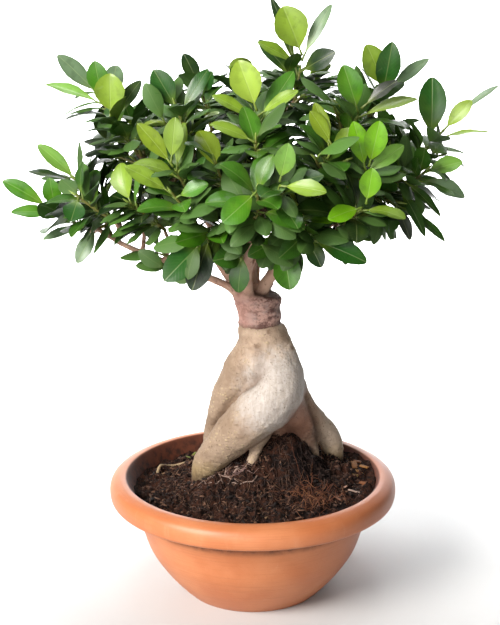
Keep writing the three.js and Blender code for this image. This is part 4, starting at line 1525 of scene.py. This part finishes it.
def make_fibres():
    luck = random.Random(12)
    bm = tinted_bmesh()
    tints = colours("2b150d", "3f2418", "553324", "6f4a38", "8f6a52")
    for _ in range(FIBRES):
        x, y = on_disc(luck, FIBRE_EDGE)
        length = luck.uniform(*FIBRE_LENGTHS)
        radius = luck.uniform(*FIBRE_RADII) * lerp(1.2, 0.6, length / FIBRE_LENGTHS[1])
        # Fibres under the thick roots are painted darker, as their shade
        tint = blended(luck.choice(tints), tints[0], root_shade_share(x, y))
        lift = luck.uniform(*FIBRE_LIFTS)
        add_fibre(bm, luck, x, y, length, radius, lift, tint, FIBRE_STEPS)
    finish_litter("peat_fibres", bm, "fibres", 0.6, 0.9)


def make_coir():
    """The clump of brown coir in front of the thick roots, on the right."""
    luck = random.Random(13)
    bm = tinted_bmesh()
    tints = colours("7a4228", "8f5636", "a56c48", "552f1f")
    for _ in range(COIR_FIBRES):
        x, y = (luck.gauss(middle, spread) for middle, spread in zip(COIR_MIDDLE, COIR_SPREAD))
        lift = luck.uniform(*COIR_LIFTS)
        length = luck.uniform(*COIR_LENGTHS)
        radius = luck.uniform(*COIR_RADII)
        add_fibre(bm, luck, x, y, length, radius, lift, luck.choice(tints), COIR_STEPS)
    finish_litter("coir_clump", bm, "coir", 0.5, 0.9)


def make_hair_roots():
    """Thin pink roots that run over the soil from the thick front one."""
    luck = random.Random(14)
    bm = tinted_bmesh()
    tints = colours("9a7a70", "b39586", "80605a")
    for _ in range(HAIR_ROOTS):
        start = luck.uniform(0, 1)
        x, y = (lerp(*ends, start) for ends in zip(*HAIR_ROOT_STARTS))
        y += luck.uniform(-3, 3)
        heading = luck.uniform(-2.6, -0.9)
        line = []
        length = luck.uniform(*HAIR_ROOT_LENGTHS)
        turn = luck.uniform(-0.5, 0.5)
        for _ in range(HAIR_ROOT_STEPS + 1):
            line.append(resting(x, y, 0.35))
            heading += turn + luck.uniform(-0.3, 0.3)
            x += math.cos(heading) * length / HAIR_ROOT_STEPS
            y += math.sin(heading) * length / HAIR_ROOT_STEPS
        radius = luck.uniform(*HAIR_ROOT_RADII)
        tint = luck.choice(tints)
        add_tube(bm, line, lambda t: radius * (1.1 - 0.8 * t), HAIR_ROOT_SIDES, tint)
    finish_litter("hair_roots", bm, "hair_roots", 0.9, 0.75)


def tilted_chip(luck, x, y, length, width):
    """A thin block with rounded edges that lies tilted on the soil."""
    chip = tinted_bmesh()
    bmesh.ops.create_cube(chip, size=1)
    bmesh.ops.scale(chip, vec=(length, width, CHIP_THICKNESS), verts=chip.verts)
    edges = {"geom": chip.edges[:], "offset": CHIP_ROUNDING, "segments": 2, "profile": 0.5}
    bmesh.ops.bevel(chip, affect="EDGES", material=-1, **edges)
    tilt = Matrix.Rotation(luck.uniform(-0.4, 0.4), 4, "X")
    tilt = tilt @ Matrix.Rotation(luck.uniform(-0.3, 0.3), 4, "Y")
    turn = Matrix.Rotation(luck.uniform(0, math.tau), 4, "Z")
    place = Matrix.Translation(resting(x, y, 0.5))
    bmesh.ops.transform(chip, matrix=place @ turn @ tilt, verts=chip.verts)
    return new_mesh("chip", chip)


def make_chips():
    """Bits of bark and dry leaf, and one dry strip that curls."""
    luck = random.Random(15)
    bm = tinted_bmesh()
    layer = bm.verts.layers.float_color["tint"]
    for x, y, length, width, code in CHIPS:
        for v in stamp(bm, tilted_chip(luck, x, y, length, width)):
            v.co.z += 0.3 * math.sin(v.co.x + v.co.y)
            v[layer] = colour(code)
    strip = route_through([resting(x, y, 1.5) for x, y in STRIP], STRIP_STEPS)
    add_tube(bm, strip, lambda t: 1.3 - 0.5 * t, STRIP_SIDES, colour("c8ab84"))
    finish_litter("bark_chips", bm, "chips", 0.9, 0.85)


# The studio, in metres

FLOOR_HALF_WIDTH = 3
FLOOR_FRONT = -4
FLOOR_BEND_START = 1.3
FLOOR_BEND_RADIUS = 0.7
FLOOR_BEND_STEPS = 10
WALL_TOP = 4
BOWL_MIDDLE = (0, 0, 0.2)
SKY_STRENGTH = 0.13

# Each lamp: name, place, aim, width, power, colour and spread

LAMPS = [
    ("key", (-1.55, -1.55, 1.4), BOWL_MIDDLE, 1.4, 130, (1, 0.97, 0.93), math.pi),
    ("fill", (-0.7, -2.3, 0.35), BOWL_MIDDLE, 1.4, 27, (1, 0.97, 0.94), math.pi),
    ("backdrop", (0, 0.9, 2.3), (0, 1.9, 0.1), 1.8, 120, (1, 1, 1), 1.5),
]


def make_floor():
    """A pale floor that curves up to a wall behind the bowl."""
    bm = bmesh.new()
    radius = FLOOR_BEND_RADIUS
    angles = [math.radians(90 / FLOOR_BEND_STEPS * i) for i in range(FLOOR_BEND_STEPS + 1)]
    bend = [(FLOOR_BEND_START + radius * math.sin(a), radius - radius * math.cos(a)) for a in angles]
    profile = [(FLOOR_FRONT, 0), (0, 0), *bend, (FLOOR_BEND_START + radius, WALL_TOP)]
    points = [bmesh.ops.create_vert(bm, co=(-FLOOR_HALF_WIDTH, y, z))["vert"][0] for y, z in profile]
    edges = [bm.edges.new(pair) for pair in zip(points, points[1:])]
    widened = bmesh.ops.extrude_edge_only(bm, edges=edges)
    verts = [v for v in widened["geom"] if isinstance(v, bmesh.types.BMVert)]
    bmesh.ops.translate(bm, vec=(2 * FLOOR_HALF_WIDTH, 0, 0), verts=verts)
    smooth_faces(bm)
    floor = new_object("studio_floor", bm)
    paint = Finish("white_floor", Base_Color=colour("f6f7f8"), Roughness=0.9)
    floor.data.materials.append(paint.material)


def add_lamp(name, place, aim, width, power, tint, spread):
    lamp = bpy.data.lights.new(name, "AREA")
    lamp.spread = spread
    lamp.shape = "DISK"
    lamp.size = width
    lamp.energy = power
    lamp.color = tint
    holder = bpy.data.objects.new(name, lamp)
    holder.location = place
    holder.rotation_euler = (Vector(aim) - Vector(place)).to_track_quat("-Z", "Y").to_euler()
    bpy.context.scene.collection.objects.link(holder)


def make_sky():
    world = bpy.data.worlds.new("soft_white")
    world.use_nodes = True
    sky = world.node_tree.nodes["Background"]
    sky.inputs["Color"].default_value = (1, 1, 1, 1)
    sky.inputs["Strength"].default_value = SKY_STRENGTH
    bpy.context.scene.world = world


def make_camera():
    lens = bpy.data.cameras.new("photo_lens")
    lens.sensor_fit = "VERTICAL"
    lens.sensor_height = SENSOR_HEIGHT
    lens.lens = FOCAL_PIXELS / PICTURE_SIZE[1] * SENSOR_HEIGHT
    lens.shift_x = (PICTURE_SIZE[0] / 2 - PICTURE_MIDDLE) / PICTURE_SIZE[1]
    camera = bpy.data.objects.new("photo_camera", lens)
    camera.location = CAMERA_PLACE
    camera.rotation_euler = (math.pi / 2 - CAMERA_PITCH, 0, 0)
    bpy.context.scene.collection.objects.link(camera)
    bpy.context.scene.camera = camera
    bpy.context.scene.view_settings.view_transform = "Standard"


def make_studio():
    make_floor()
    make_sky()
    for lamp in LAMPS:
        add_lamp(*lamp)
    make_camera()


make_bowl()
make_soil()
make_roots()
cad_wood = copy_of("stub_and_branches")
shoots = [Shoot(number + 1, cad_wood) for number in range(SHOOTS)]
make_wood([shoot.twig for shoot in shoots])
make_crown(shoots, cad_wood)
make_crumbs()
make_fibres()
make_coir()
make_hair_roots()
make_chips()
make_studio()
